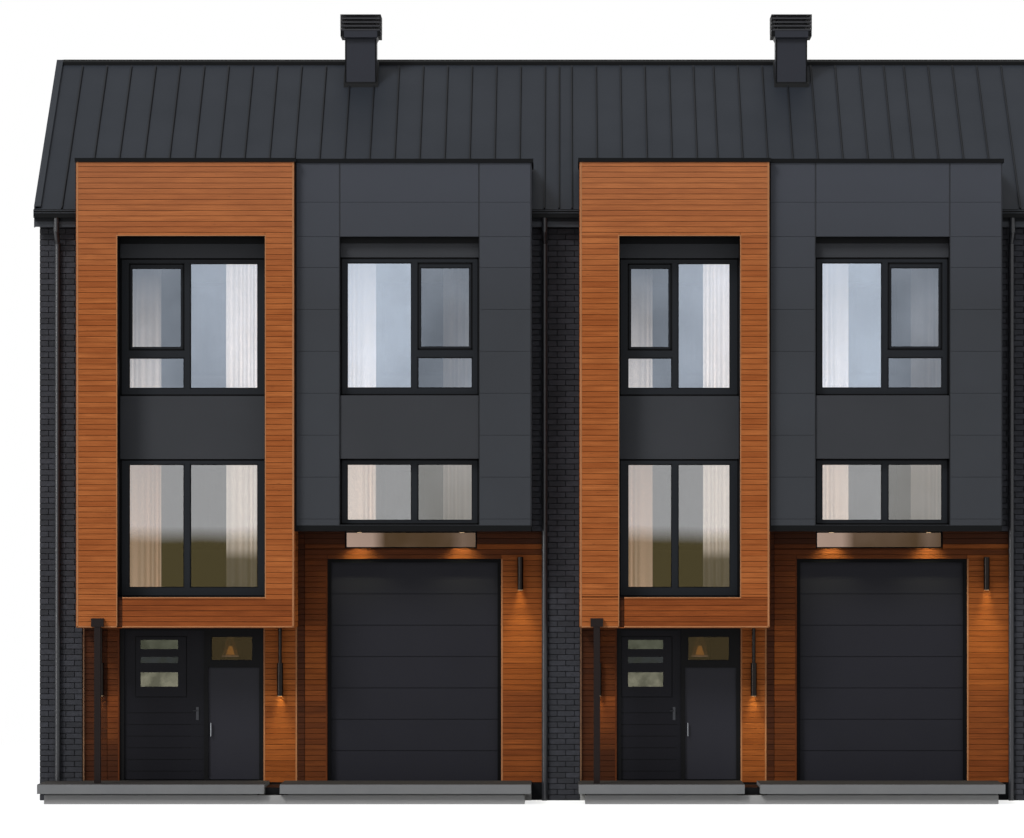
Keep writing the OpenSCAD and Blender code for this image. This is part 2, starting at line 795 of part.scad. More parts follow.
// Dark panels over and under the windows, and the soffits over the garages
panel_step = 20;
panel_y1 = bay_depth - lap;
soffit_set = 12;
module bay_panels() {
    color("#35383C") for (h = HOUSES) {
        xt = timber_open_x(h);
        xg = grey_open_x(h);
        slab(xt, timber_reveal - panel_step, lower_head, xt + timber_open_w(h), panel_y1, upper_sill);
        slab(xt, timber_reveal - panel_step, upper_head, xt + timber_open_w(h), panel_y1, opening_top);
        slab(xg, grey_set + panel_step, lower_head, xg + grey_open_w(h), panel_y1, upper_sill);
        slab(xg, grey_window_y - panel_step, upper_head, xg + grey_open_w(h), panel_y1, opening_top);
        slab(grey_x(h), grey_set + soffit_set, soffit_base, bays_end(h), ground_y, grey_base);
    }
}

// Every bay window: [x, width, front, sill, head, mullion, side of the opening sash or 0,
// width of the side members, height of the bottom member]
function bay_windows(h) = [
    [timber_open_x(h), timber_open_w(h), timber_reveal, timber_sill, lower_head,
        timber_mullion(h), 0, timber_frame_side, timber_foot],
    [timber_open_x(h), timber_open_w(h), timber_reveal, upper_sill, upper_head,
        timber_mullion(h), -1, timber_frame_side, frame_foot],
    [grey_open_x(h), grey_open_w(h), grey_window_y, grey_sill, lower_head,
        grey_mullion(h), 0, grey_frame_side, grey_foot],
    [grey_open_x(h), grey_open_w(h), grey_window_y, upper_sill, upper_head,
        grey_mullion(h), 1, grey_frame_side, frame_foot]
];

// Lights of a window: [x0, z0, x1, z1, is a sash]
function window_lights(w) = let (
    x0 = w[0] + w[7],
    xa = w[0] + w[5] - mullion_w / 2,
    xb = w[0] + w[5] + mullion_w / 2,
    x1 = w[0] + w[1] - w[7],
    z0 = w[3] + w[8],
    z1 = w[4] - frame_head,
    zl = z0 + low_pane_h
)
    w[6] == 0 ? [[x0, z0, xa, z1, 0], [xb, z0, x1, z1, 0]]
    : w[6] < 0 ? [[x0, z0, xa, zl, 0], [x0, zl + transom_h, xa, z1, 1], [xb, z0, x1, z1, 0]]
    : [[x0, z0, xa, z1, 0], [xb, z0, x1, zl, 0], [xb, zl + transom_h, x1, z1, 1]];

// A light grown by m on its four sides, from y0 to y1
module light_slab(l, m, y0, y1) {
    slab(l[0] - m, y0, l[1] - m, l[2] + m, y1, l[3] + m);
}

// Every light has a stepped edge: a wider rebate at the front, then the frame that holds the pane
rebate_w = 14;
rebate_d = 22;
module bay_window_frames() {
    color(frame_black) for (h = HOUSES, w = bay_windows(h)) difference() {
        slab(w[0], w[2], w[3], w[0] + w[1], w[2] + frame_d, w[4]);
        for (l = window_lights(w)) {
            light_slab(l, 0, w[2] - 1, w[2] + frame_d + 1);
            light_slab(l, rebate_w, w[2] - 1, w[2] + rebate_d);
        }
    }
}

sash_set = 6;
sash_d = 64;
sash_step_w = 12;
sash_step_d = 10;
// The opening of a sash grown by m on its four sides
module sash_opening(l, m, y0, y1) {
    slab(l[0] + sash_w - m, y0, l[1] + sash_w - m, l[2] - sash_w + m, y1, l[3] - sash_head + m);
}

module opening_sashes() {
    color(frame_black) for (h = HOUSES, w = bay_windows(h), l = window_lights(w))
        if (l[4] == 1) difference() {
            light_slab(l, 0, w[2] + sash_set, w[2] + sash_set + sash_d);
            sash_opening(l, 0, w[2], w[2] + frame_d + 1);
            sash_opening(l, sash_step_w, w[2], w[2] + sash_set + sash_step_d);
        }
}

module bay_window_glass() {
    color(glass_blue, 0.5) for (h = HOUSES, w = bay_windows(h), l = window_lights(w)) let (
        inset = l[4] * sash_w,
        y0 = w[2] + (frame_d - glass_t) / 2
    )
        slab(l[0] + inset, y0, l[1] + inset, l[2] - inset, y0 + glass_t, l[3] - l[4] * sash_head);
}

// Curtains hang at both sides of every bay window, from a track under the ceiling
curtain_t = 90;
curtain_gap = 70;
curtain_drop = 22;
track_h = 24;
// Widths of the left and right curtains, of each house
timber_curtains = [[635, 655], [528, 558]];
grey_curtains = [[545, 570], [542, 568]];
function curtain_w(h, w, side) = (w[0] == timber_open_x(h) ? timber_curtains : grey_curtains)[h][side];
function window_ceiling(w) = (w[4] == lower_head ? second_floor_top : attic_floor_top) - floor_t;
function window_floor(w) = w[4] == upper_head ? second_floor_top
    : w[3] == grey_sill ? raised_floor_top : first_floor_top;

curtain_y = bay_depth + curtain_gap;
module curtains() {
    color("#E9E9E4") for (h = HOUSES, w = bay_windows(h), side = [0, 1]) let (
        cw = curtain_w(h, w, side),
        x0 = side == 0 ? w[0] + 40 : w[0] + w[1] - 40 - cw
    )
        slab(x0, curtain_y, window_floor(w) + curtain_drop,
            x0 + cw, curtain_y + curtain_t, window_ceiling(w) - track_h);
}

module curtain_tracks() {
    color("#D8D8D4") for (h = HOUSES, w = bay_windows(h))
        slab(w[0] - 60, curtain_y + curtain_t / 2 - 15, window_ceiling(w) - track_h,
            w[0] + w[1] + 60, curtain_y + curtain_t / 2 + 15, window_ceiling(w));
}

// Ground floor
function entrance_w(h) = h == 0 ? entrance_a_w : entrance_b_w;
function entrance_x(h) = timber_x(h) + entrance_leg;
function garage_x(h) = grey_x(h) + garage_leg;
function garage_w(h) = grey_w(h) - 2 * garage_leg;
leaf_foot = slab_top + threshold_h;

module ground_timber_piers() {
    color(timber_brown) for (h = HOUSES) {
        slab(timber_x(h), ground_y, slab_top, entrance_x(h), inner_y, timber_base);
        slab(entrance_x(h) + entrance_w(h), ground_y, slab_top, grey_x(h), inner_y, timber_base);
        slab(grey_x(h), ground_y, slab_top, garage_x(h), inner_y, grey_base);
        slab(garage_x(h) + garage_w(h), ground_y, slab_top, bays_end(h), inner_y, grey_base);
        slab(bays_end(h) - lap, ground_y, slab_top,
            bays_end(h) + timber_past_bay, inner_y, soffit_base);
    }
}

strip_inset = 50;
module garage_lintels() {
    color(timber_brown) for (h = HOUSES) difference() {
        slab(garage_x(h), ground_y, garage_head, garage_x(h) + garage_w(h), inner_y, grey_base);
        slab(grey_open_x(h) + strip_inset, ground_y - 1, strip_sill,
            grey_open_x(h) + grey_open_w(h) - strip_inset, inner_y + 1, soffit_base);
    }
}

garage_set = 110;
strip_frame_w = 24;
strip_set = 40;
module garage_frames() {
    color(frame_black) for (h = HOUSES) {
        x0 = garage_x(h);
        x1 = x0 + garage_w(h);
        difference() {
            slab(x0, ground_y, slab_top, x1, inner_y, garage_head);
            slab(x0 + garage_lining, ground_y - 1, slab_top - 1,
                x1 - garage_lining, inner_y + 1, garage_head - garage_lining);
        }
        sx0 = grey_open_x(h) + strip_inset;
        sx1 = grey_open_x(h) + grey_open_w(h) - strip_inset;
        difference() {
            slab(sx0, ground_y + strip_set, strip_sill, sx1, ground_y + strip_set + frame_d, soffit_base);
            slab(sx0 + strip_frame_w, ground_y, strip_sill + strip_frame_w,
                sx1 - strip_frame_w, inner_y, soffit_base - strip_frame_w);
        }
    }
}

garage_door_t = 50;
groove_d = 14;
groove_w = 16;
module garage_doors() {
    color("#232428") for (h = HOUSES) {
        x0 = garage_x(h) + garage_lining;
        x1 = garage_x(h) + garage_w(h) - garage_lining;
        z1 = garage_head - garage_lining;
        section_h = (z1 - slab_top) / garage_sections;
        difference() {
            slab(x0, ground_y + garage_set, slab_top, x1, ground_y + garage_set + garage_door_t, z1);
            for (i = [1:garage_sections - 1])
                slab(x0 - 1, ground_y + garage_set - 1, slab_top + i * section_h - groove_w / 2,
                    x1 + 1, ground_y + garage_set + groove_d, slab_top + i * section_h + groove_w / 2);
        }
    }
}

// Entrance: the wide leaf hangs at the left, the narrow one at the right under a transom light
function narrow_x0(h) = entrance_x(h) + entrance_w(h) - jamb_w - narrow_leaf_w;
function wide_x0(h) = entrance_x(h) + jamb_w;
function wide_x1(h) = narrow_x0(h) - meeting_w;
entrance_y = ground_y + 20;
leaf_stop_gap = 5;
leaf_stop_t = jamb_d - leaf_t - leaf_stop_gap;
leaf_stop_w = 14;
leaf_y = entrance_y + jamb_d - leaf_t;
wide_head = timber_base - jamb_w;
narrow_head = leaf_foot + narrow_leaf_h;
transom_sill = narrow_head + transom_bar_h;
transom_frame = 70;
transom_frame_r = 135;
transom_frame_top = 120;
transom_set = 50;

hinge_levels_wide = [leaf_foot + 250, (leaf_foot + wide_head) / 2 - 50, wide_head - 350];
hinge_levels_narrow = [leaf_foot + 220, (leaf_foot + narrow_head) / 2 - 50, narrow_head - 320];
pin_r = 7;
pin_gap = 0.3;
knuckle_r = 14;
knuckle_h = 90;
knuckle_clear = 2;
leaf_back_y = leaf_y + leaf_t;
hinge_y = leaf_back_y + knuckle_r + knuckle_clear;
hinge_past_jamb = 4;

// Pin with an arm above and below the knuckle, side is +1 where the frame lies at lower X
module hinge_pin(x, z, side) {
    translate([x, hinge_y, z - 30]) cylinder(h = knuckle_h + 60, r = pin_r, $fn = 32);
    for (arm_z = [z - 26, z + knuckle_h + 6]) {
        translate([x, hinge_y, arm_z]) cylinder(h = 20, r = knuckle_r, $fn = 32);
        slab(side > 0 ? x - 40 : x, leaf_back_y, arm_z,
            side > 0 ? x : x + 40, hinge_y + 6, arm_z + 20);
    }
}

module knuckle(x, z, side) {
    difference() {
        union() {
            translate([x, hinge_y, z]) cylinder(h = knuckle_h, r = knuckle_r, $fn = 32);
            slab(side > 0 ? x + 8 : x - 60, leaf_back_y, z,
                side > 0 ? x + 60 : x - 8, leaf_back_y + 10, z + knuckle_h);
        }
        translate([x, hinge_y, z - 1]) cylinder(h = knuckle_h + 2, r = pin_r + pin_gap, $fn = 32);
    }
}

module entrance_frame(h) {
    x0 = entrance_x(h);
    x1 = x0 + entrance_w(h);
    difference() {
        slab(x0, entrance_y, slab_top, x1, entrance_y + jamb_d, timber_base);
        slab(wide_x0(h), entrance_y + leaf_stop_t, leaf_foot,
            wide_x1(h), entrance_y + jamb_d + 1, wide_head);
        slab(wide_x0(h) + leaf_stop_w, entrance_y - 1, leaf_foot,
            wide_x1(h) - leaf_stop_w, entrance_y + jamb_d, wide_head - leaf_stop_w);
        slab(narrow_x0(h), entrance_y + leaf_stop_t, leaf_foot,
            x1 - jamb_w, entrance_y + jamb_d + 1, narrow_head);
        slab(narrow_x0(h) + leaf_stop_w, entrance_y - 1, leaf_foot,
            x1 - jamb_w - leaf_stop_w, entrance_y + jamb_d, narrow_head - leaf_stop_w);
        slab(narrow_x0(h) + transom_frame, entrance_y - 1, transom_sill,
            x1 - jamb_w - transom_frame_r, entrance_y + jamb_d + 1, wide_head - transom_frame_top);
    }
    for (z = hinge_levels_wide) hinge_pin(wide_x0(h) - hinge_past_jamb, z, 1);
    for (z = hinge_levels_narrow) hinge_pin(x1 - jamb_w + hinge_past_jamb, z, -1);
}

// The wide leaf has a raised window frame with three strips of glass, and grooves below it.
// The strips are [height over the foot of the window frame, height of the strip]
door_window_at = [212, 22];
door_window_w = 845;
door_window_drop = 119;
door_window_h = 1005;
door_window_t = 12;
door_strips = [[167, 242], [566, 103], [802, 154]];
door_strip_in = [76, 110];
door_strip_w = [633, 591];
door_groove_w = 8;
door_groove_d = 6;
door_groove_count = 6;
door_groove_start = 142;
door_groove_clear = 279;
function door_strip_x(h) = wide_x0(h) + door_window_at[h] + door_strip_in[h];
door_window_z = wide_head - door_window_drop - door_window_h;
door_groove_pitch = (door_window_z - leaf_foot - door_groove_start - door_groove_clear)
    / (door_groove_count - 1);

module door_strip(h, s, y0, y1) {
    slab(door_strip_x(h), y0, door_window_z + s[0], door_strip_x(h) + door_strip_w[h], y1,
        door_window_z + s[0] + s[1]);
}

module wide_leaf(h) {
    x0 = wide_x0(h) + leaf_gap;
    x1 = wide_x1(h) - leaf_gap;
    wx = wide_x0(h) + door_window_at[h];
    difference() {
        union() {
            slab(x0, leaf_y, leaf_foot + leaf_gap, x1, leaf_y + leaf_t, wide_head - leaf_gap);
            slab(wx, leaf_y - door_window_t, door_window_z, wx + door_window_w, leaf_y + lap,
                door_window_z + door_window_h);
        }
        for (s = door_strips) door_strip(h, s, leaf_y - door_window_t - 1, leaf_y + leaf_t + 1);
        for (i = [0:door_groove_count - 1])
            let (z = leaf_foot + door_groove_start + i * door_groove_pitch)
                slab(x0 - 1, leaf_y - 1, z, x1 + 1, leaf_y + door_groove_d, z + door_groove_w);
    }
    for (z = hinge_levels_wide) knuckle(wide_x0(h) - hinge_past_jamb, z, 1);
}

module wide_leaf_glass(h) {
    for (s = door_strips)
        door_strip(h, s, leaf_y + (leaf_t - glass_t) / 2, leaf_y + (leaf_t + glass_t) / 2);
}

lever_z = 1505;
lever_in = 131;
lever_l = 78;
lever_off = 50;
plate_z = 1349;
plate_w = 44;
plate_h = 220;
plate_t = 10;
bar_r = 9;
module wide_leaf_handle(h) {
    x = wide_x1(h) - lever_in;
    slab(x - plate_w / 2, leaf_y - plate_t, plate_z, x + plate_w / 2, leaf_y, plate_z + plate_h);
    translate([x, leaf_y, lever_z]) rotate([90, 0, 0]) cylinder(h = lever_off + bar_r, r = bar_r, $fn = 32);
    translate([x + bar_r, leaf_y - lever_off, lever_z]) rotate([0, -90, 0])
        cylinder(h = lever_l, r = bar_r, $fn = 32);
}

module narrow_leaf(h) {
    x0 = narrow_x0(h) + leaf_gap;
    x1 = entrance_x(h) + entrance_w(h) - jamb_w - leaf_gap;
    slab(x0, leaf_y, leaf_foot + leaf_gap, x1, leaf_y + leaf_t, narrow_head - leaf_gap);
    for (z = hinge_levels_narrow)
        knuckle(entrance_x(h) + entrance_w(h) - jamb_w + hinge_past_jamb, z, -1);
}

pull_z = 1078;
pull_h = 225;
module narrow_leaf_handle(h) {
    x = narrow_x0(h) + 60;
    translate([x, leaf_y - 50, pull_z]) cylinder(h = pull_h, r = 11, $fn = 32);
    for (z = [pull_z + 30, pull_z + pull_h - 30])
        translate([x, leaf_y, z]) rotate([90, 0, 0]) cylinder(h = 50, r = 8, $fn = 32);
}

module entrance_frame_a() {
    color(frame_black) entrance_frame(0);
}

module entrance_frame_b() {
    color(frame_black) entrance_frame(1);
}

module wide_leaf_a() {
    color("#232428") wide_leaf(0);
}

module wide_leaf_b() {
    color("#232428") wide_leaf(1);
}

module wide_leaf_glass_a() {
    color(glass_blue, 0.5) wide_leaf_glass(0);
}

module wide_leaf_glass_b() {
    color(glass_blue, 0.5) wide_leaf_glass(1);
}

module wide_leaf_handle_a() {
    color("#8A8C90") wide_leaf_handle(0);
}

module wide_leaf_handle_b() {
    color("#8A8C90") wide_leaf_handle(1);
}

module narrow_leaf_a() {
    color("#232428") narrow_leaf(0);
}

module narrow_leaf_b() {
    color("#232428") narrow_leaf(1);
}

module narrow_leaf_handle_a() {
    color("#8A8C90") narrow_leaf_handle(0);
}

module narrow_leaf_handle_b() {
    color("#8A8C90") narrow_leaf_handle(1);
}

module ground_floor_glass() {
    color(glass_blue, 0.5) for (h = HOUSES) {
        y0 = ground_y + strip_set + (frame_d - glass_t) / 2;
        slab(grey_open_x(h) + strip_inset + strip_frame_w, y0, strip_sill + strip_frame_w,
            grey_open_x(h) + grey_open_w(h) - strip_inset - strip_frame_w, y0 + glass_t,
            soffit_base - strip_frame_w);
        slab(narrow_x0(h) + transom_frame, entrance_y + transom_set, transom_sill,
            entrance_x(h) + entrance_w(h) - jamb_w - transom_frame_r, entrance_y + transom_set + glass_t,
            wide_head - transom_frame_top);
    }
}

// Lamps: up and down light beside the garage, slim lamps beside the door, spots in the soffit
wall_lamp_l = 556;
wall_lamp_z = 3546;
wall_lamp_r = 50;
wall_lamp_in = 186;
slim_lamp_l = 556;
slim_lamp_z = 1760;
slim_lamp_r = 52;
stem_r = 30;
spot_r = 50;
spot_h = 20;
spot_in = 300;
lamp_y = ground_y - 90;

module lamps() {
    color("#17181A") for (h = HOUSES) {
        translate([bays_end(h) - wall_lamp_in, lamp_y, wall_lamp_z])
            cylinder(h = wall_lamp_l, r = wall_lamp_r, $fn = 48);
        slab(bays_end(h) - wall_lamp_in - 30, lamp_y, wall_lamp_z + wall_lamp_l / 2 - 60,
            bays_end(h) - wall_lamp_in + 30, ground_y, wall_lamp_z + wall_lamp_l / 2 + 60);
        for (x = [(timber_x(h) + entrance_x(h)) / 2, (entrance_x(h) + entrance_w(h) + grey_x(h)) / 2]) {
            translate([x, lamp_y, slim_lamp_z]) cylinder(h = slim_lamp_l, r = slim_lamp_r, $fn = 48);
            translate([x, lamp_y, slim_lamp_z])
                cylinder(h = timber_base - slim_lamp_z, r = stem_r, $fn = 32);
        }
        for (x = [grey_open_x(h) + spot_in, grey_open_x(h) + grey_open_w(h) - spot_in])
            translate([x, (bay_depth + ground_y) / 2, soffit_base - spot_h])
                cylinder(h = spot_h, r = spot_r, $fn = 48);
    }
}

// A conical shade hangs in each hall, behind the light over the narrow leaf
pendant_at = 300;
pendant_y = 2300;
pendant_h = 350;
pendant_low_r = 145;
pendant_high_r = 50;
pendant_drop = 310;
pendant_stem_r = 8;
module pendant_lamps() {
    color("#D9C9A8") for (h = HOUSES) {
        ceiling = first_floor_top - floor_t;
        translate([narrow_x0(h) + pendant_at, pendant_y, ceiling - pendant_drop - pendant_h])
            cylinder(h = pendant_h, r1 = pendant_low_r, r2 = pendant_high_r, $fn = 64);
        translate([narrow_x0(h) + pendant_at, pendant_y, ceiling - pendant_drop - lap])
            cylinder(h = pendant_drop + lap, r = pendant_stem_r, $fn = 32);
    }
}

post_w = 104;
post_gap = 20;
bracket_h = 150;
bracket_w = 208;
post_in_a = 352;
post_in_b = 275;
module entrance_posts() {
    color("#26282B") for (h = HOUSES) {
        x = timber_x(h) + (h == 0 ? post_in_a : post_in_b);
        slab(x - post_w / 2, -post_w - post_gap, landing_top, x + post_w / 2, -post_gap, timber_base + 20);
        slab(x - bracket_w / 2, -post_w - post_gap - 10, timber_base + 10,
            x + bracket_w / 2, 0, timber_base + bracket_h);
    }
}

landing_split_a = 337;
landing_split_b = 295;
landing_start = 100;
function landing_gap_x(h) = grey_x(h) - (h == 0 ? landing_split_a : landing_split_b) - landing_gap / 2;
module landing(x0, x1) {
    slab(x0, -landing_reach, landing_top - landing_t, x1, brick_set, landing_top);
    slab(x0 + landing_inset + 20, -landing_reach + landing_inset + 20, 0,
        x1 - landing_inset - 20, brick_set, landing_top - landing_t + 1);
    slab(x0 + landing_inset, -landing_reach + landing_inset, 0,
        x1 - landing_inset, brick_set, landing_top - landing_t - shadow_joint);
}

function landing_x(h) = h == 0 ? landing_start : timber_x(h) - 25;
module landings() {
    color(concrete_grey) for (h = HOUSES) {
        gap_x = landing_gap_x(h);
        landing(landing_x(h), gap_x);
        slab(timber_x(h) + 1, brick_set - 1, 0, gap_x, ground_y, landing_top);
        landing(gap_x + landing_gap, bays_end(h));
        slab(gap_x + landing_gap, brick_set - 1, 0, bays_end(h), ground_y, landing_top);
    }
}

module landing_blocks() {
    color("#1C1D20") for (h = HOUSES) {
        gap_x = landing_gap_x(h);
        slab(gap_x, -landing_reach + 300, 0, gap_x + landing_gap, ground_y, landing_top - 60);
    }
}

row_frame() ground_slabs();
row_frame() left_end_wall();
row_frame() party_wall();
row_frame() right_end_wall();
row_frame() front_brick_piers();
row_frame() rear_wall_a();
row_frame() rear_wall_b();
row_frame() rear_window_frames();
row_frame() rear_window_glass();
row_frame() first_floors();
row_frame() upper_floors();
row_frame() front_roof_deck();
row_frame() rear_roof_deck();
row_frame() front_roof_sheet();
row_frame() rear_roof_sheet();
row_frame() ridge_cap();
row_frame() verge_trims();
row_frame() gutters();
row_frame() downpipes();
row_frame() chimneys();
row_frame() chimney_caps();
row_frame() bay_roofs();
row_frame() bay_copings();
row_frame() timber_bay_a();
row_frame() grey_bay_a();
row_frame() timber_bay_b();
row_frame() grey_bay_b();
row_frame() bay_panels();
row_frame() bay_window_frames();
row_frame() opening_sashes();
row_frame() bay_window_glass();
row_frame() curtains();
row_frame() curtain_tracks();
row_frame() ground_timber_piers();
row_frame() garage_lintels();
row_frame() garage_frames();
row_frame() garage_doors();
row_frame() ground_floor_glass();
row_frame() lamps();
row_frame() pendant_lamps();
row_frame() entrance_posts();
row_frame() landings();
row_frame() landing_blocks();
row_frame() entrance_frame_a();
row_frame() wide_leaf_a();
row_frame() wide_leaf_glass_a();
row_frame() wide_leaf_handle_a();
row_frame() narrow_leaf_a();
row_frame() narrow_leaf_handle_a();
row_frame() entrance_frame_b();
row_frame() wide_leaf_b();
row_frame() wide_leaf_glass_b();
row_frame() wide_leaf_handle_b();
row_frame() narrow_leaf_b();
row_frame() narrow_leaf_handle_b();
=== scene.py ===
import math
import random

import bmesh
import bpy
from mathutils import Matrix, Vector


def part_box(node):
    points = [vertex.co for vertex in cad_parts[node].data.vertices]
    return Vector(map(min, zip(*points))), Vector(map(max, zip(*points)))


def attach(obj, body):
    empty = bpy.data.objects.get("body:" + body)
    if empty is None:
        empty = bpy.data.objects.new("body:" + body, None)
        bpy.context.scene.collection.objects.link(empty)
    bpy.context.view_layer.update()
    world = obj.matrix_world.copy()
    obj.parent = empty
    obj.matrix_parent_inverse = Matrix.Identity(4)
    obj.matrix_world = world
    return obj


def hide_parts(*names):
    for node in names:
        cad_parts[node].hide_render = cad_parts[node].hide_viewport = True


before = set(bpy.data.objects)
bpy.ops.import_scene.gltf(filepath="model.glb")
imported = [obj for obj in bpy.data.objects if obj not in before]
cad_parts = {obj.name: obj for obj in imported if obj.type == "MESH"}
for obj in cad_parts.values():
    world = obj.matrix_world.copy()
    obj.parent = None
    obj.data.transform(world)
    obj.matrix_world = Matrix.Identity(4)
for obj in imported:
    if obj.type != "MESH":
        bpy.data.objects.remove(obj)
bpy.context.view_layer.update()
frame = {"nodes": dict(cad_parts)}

bl_info = {
    "name": "Terraced House Row Dresser",
    "version": (1, 0, 0),
    "blender": (4, 5, 0),
    "location": "View3D > Sidebar > Terrace",
    "description": "Clads, glazes and lights the packed terraced house row",
    "category": "Object",
}

NODES = frame["nodes"]
RIGHT = Vector((1, 0, 0))
BACK = Vector((0, 1, 0))
UP = Vector((0, 0, 1))
HOUSES = ("a", "b")
# Upright height of the roof deck, depth of the soffit under the grey bays, and the level that parts
# the windows of the two storeys, in metres
DECK_H = 0.29
SOFFIT_H = 0.085
UPPER_Z = 6.0
# Width of the worn edge of a brick or a board
ARRIS = 0.0015


def linear(code):
    """Turns an sRGB hex colour into linear values."""
    parts = [int(code[i:i + 2], 16) / 255 for i in (1, 3, 5)]
    return [c / 12.92 if c <= 0.04045 else ((c + 0.055) / 1.055) ** 2.4 for c in parts]


def rgba(colour):
    """A colour with full alpha, from a hex code or a linear colour."""
    return (*(linear(colour) if isinstance(colour, str) else colour), 1.0)


def solids(node):
    """Lowest and highest corner of each separate solid of a CAD node, from left to right."""
    bm = bmesh.new()
    bm.from_mesh(NODES[node].data)
    bmesh.ops.remove_doubles(bm, verts=bm.verts, dist=0.00002)
    waiting = set(bm.verts)
    boxes = []
    while waiting:
        reached = [waiting.pop()]
        low = reached[0].co.copy()
        high = reached[0].co.copy()
        while reached:
            vert = reached.pop()
            low = Vector(map(min, low, vert.co))
            high = Vector(map(max, high, vert.co))
            for edge in vert.link_edges:
                other = edge.other_vert(vert)
                if other in waiting:
                    waiting.discard(other)
                    reached.append(other)
        boxes.append((low, high))
    bm.free()
    return sorted(boxes, key=lambda box: (round(box[0].x, 3), round(box[0].z, 3)))


def front_eave():
    """Depth and height of the roof deck's front edge, and the roof's rise for each metre of depth."""
    low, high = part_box("front_roof_deck")
    return low.y, low.z + DECK_H, (high.z - low.z - DECK_H) / (high.y - low.y)


# Materials


def feed(node, inputs):
    """Sets a node's inputs, or links them to a socket or to another node's first output."""
    for key, value in inputs.items():
        if isinstance(value, bpy.types.Node):
            value = value.outputs[0]
        if isinstance(value, bpy.types.NodeSocket):
            node.id_data.links.new(value, node.inputs[key])
        else:
            node.inputs[key].default_value = value


def add(tree, kind, inputs=None, **settings):
    """Adds a node with its settings and links."""
    node = tree.nodes.new(kind)
    for name, value in settings.items():
        setattr(node, name, value)
    feed(node, inputs or {})
    return node


def empty_tree(owner):
    """The cleared node tree of a material or a world."""
    owner.use_nodes = True
    owner.node_tree.nodes.clear()
    return owner.node_tree


def rays(tree, *kinds):
    """A mask that is one where a ray is of any of the given kinds."""
    path = add(tree, "ShaderNodeLightPath")
    mask = path.outputs[kinds[0]]
    for kind in kinds[1:]:
        mask = add(tree, "ShaderNodeMath", {0: mask, 1: path.outputs[kind]}, operation="MAXIMUM")
    return mask


def start_finish(name, colour, inputs):
    """A material of one colour and its node tree."""
    material = bpy.data.materials.new(name)
    tree = empty_tree(material)
    shader = add(tree, "ShaderNodeBsdfPrincipled", {"Base Color": rgba(colour), **inputs})
    add(tree, "ShaderNodeOutputMaterial", {"Surface": shader})
    return material, tree


def shader_of(material):
    """The shader of a finish."""
    return next(node for node in material.node_tree.nodes if node.type == "BSDF_PRINCIPLED")


def paint_over(material, mask, colour):
    """Paints a colour over a finish, as far as a mask says."""
    tree = material.node_tree
    base = shader_of(material).inputs["Base Color"]
    under = base.links[0].from_socket if base.links else base.default_value[:]
    over = colour if isinstance(colour, bpy.types.NodeSocket) else rgba(colour)
    mixed = add(tree, "ShaderNodeMix", {0: mask, 6: under, 7: over}, data_type="RGBA")
    tree.links.new(mixed.outputs[2], base)


def repaint_over_deck(material, height, colour, below):
    """Gives the part of a finish below or above a height over the roof deck another colour."""
    tree = material.node_tree
    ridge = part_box("front_roof_deck")[1]
    rise = front_eave()[2]
    axes = add(tree, "ShaderNodeSeparateXYZ", {
        "Vector": add(tree, "ShaderNodeTexCoord").outputs["Object"]})
    away = add(tree, "ShaderNodeMath", {0: axes.outputs["Y"], 1: ridge.y}, operation="SUBTRACT")
    away = add(tree, "ShaderNodeMath", {0: away}, operation="ABSOLUTE")
    fallen = add(tree, "ShaderNodeMath", {0: away, 1: rise, 2: axes.outputs["Z"]}, operation="MULTIPLY_ADD")
    over = add(tree, "ShaderNodeMath", {0: fallen, 1: ridge.z}, operation="SUBTRACT")
    paint_over(material, add(tree, "ShaderNodeMath", {0: over, 1: height},
                             operation="LESS_THAN" if below else "GREATER_THAN"), colour)


def fade_by_height(material, low, high, colour, most):
    """Fades a finish towards a colour from one height to another."""
    tree = material.node_tree
    axes = add(tree, "ShaderNodeSeparateXYZ", {
        "Vector": add(tree, "ShaderNodeTexCoord").outputs["Object"]})
    paint_over(material, add(tree, "ShaderNodeMapRange", {
        "Value": axes.outputs["Z"], "From Min": low, "From Max": high, "To Max": most}), colour)


def clouded_finish(name, first, second, scale, inputs, detail=2.0):
    """A finish that drifts between two near tones, in soft clouds of a given scale."""
    material, tree = start_finish(name, first, inputs)
    place = add(tree, "ShaderNodeTexCoord").outputs["Object"]
    clouds = add(tree, "ShaderNodeTexNoise", {"Vector": place, "Scale": scale, "Detail": detail})
    paint_over(material, clouds, second)
    return material


def facing_brick(look):
    """Dark clay facing brick, wire-cut and matt: each brick has its own tone, with a sanded face."""
    material, tree = start_finish("wirecut_facing_brick", look.brick_dark, {
        "IOR": 1.5, "Specular IOR Level": 0.3})
    place = add(tree, "ShaderNodeTexCoord").outputs["Object"]
    # Mottling is about 60 mm wide, sand about 7 mm, coarser than real so that it shows
    mottle = add(tree, "ShaderNodeTexNoise", {"Vector": place, "Scale": 16.0, "Detail": 4.0})
    sand = add(tree, "ShaderNodeTexNoise", {"Vector": place, "Scale": 140.0, "Detail": 3.0})
    paint_over(material, add(tree, "ShaderNodeAttribute", attribute_name="tone").outputs["Fac"],
               look.brick_light)
    paint_over(material, mottle, "#232428")
    feed(shader_of(material), {
        "Roughness": add(tree, "ShaderNodeMapRange", {"Value": mottle, "To Min": 0.68, "To Max": 0.9}),
        "Normal": add(tree, "ShaderNodeBump", {"Height": sand, "Strength": 0.35, "Distance": 0.003})})
    return material


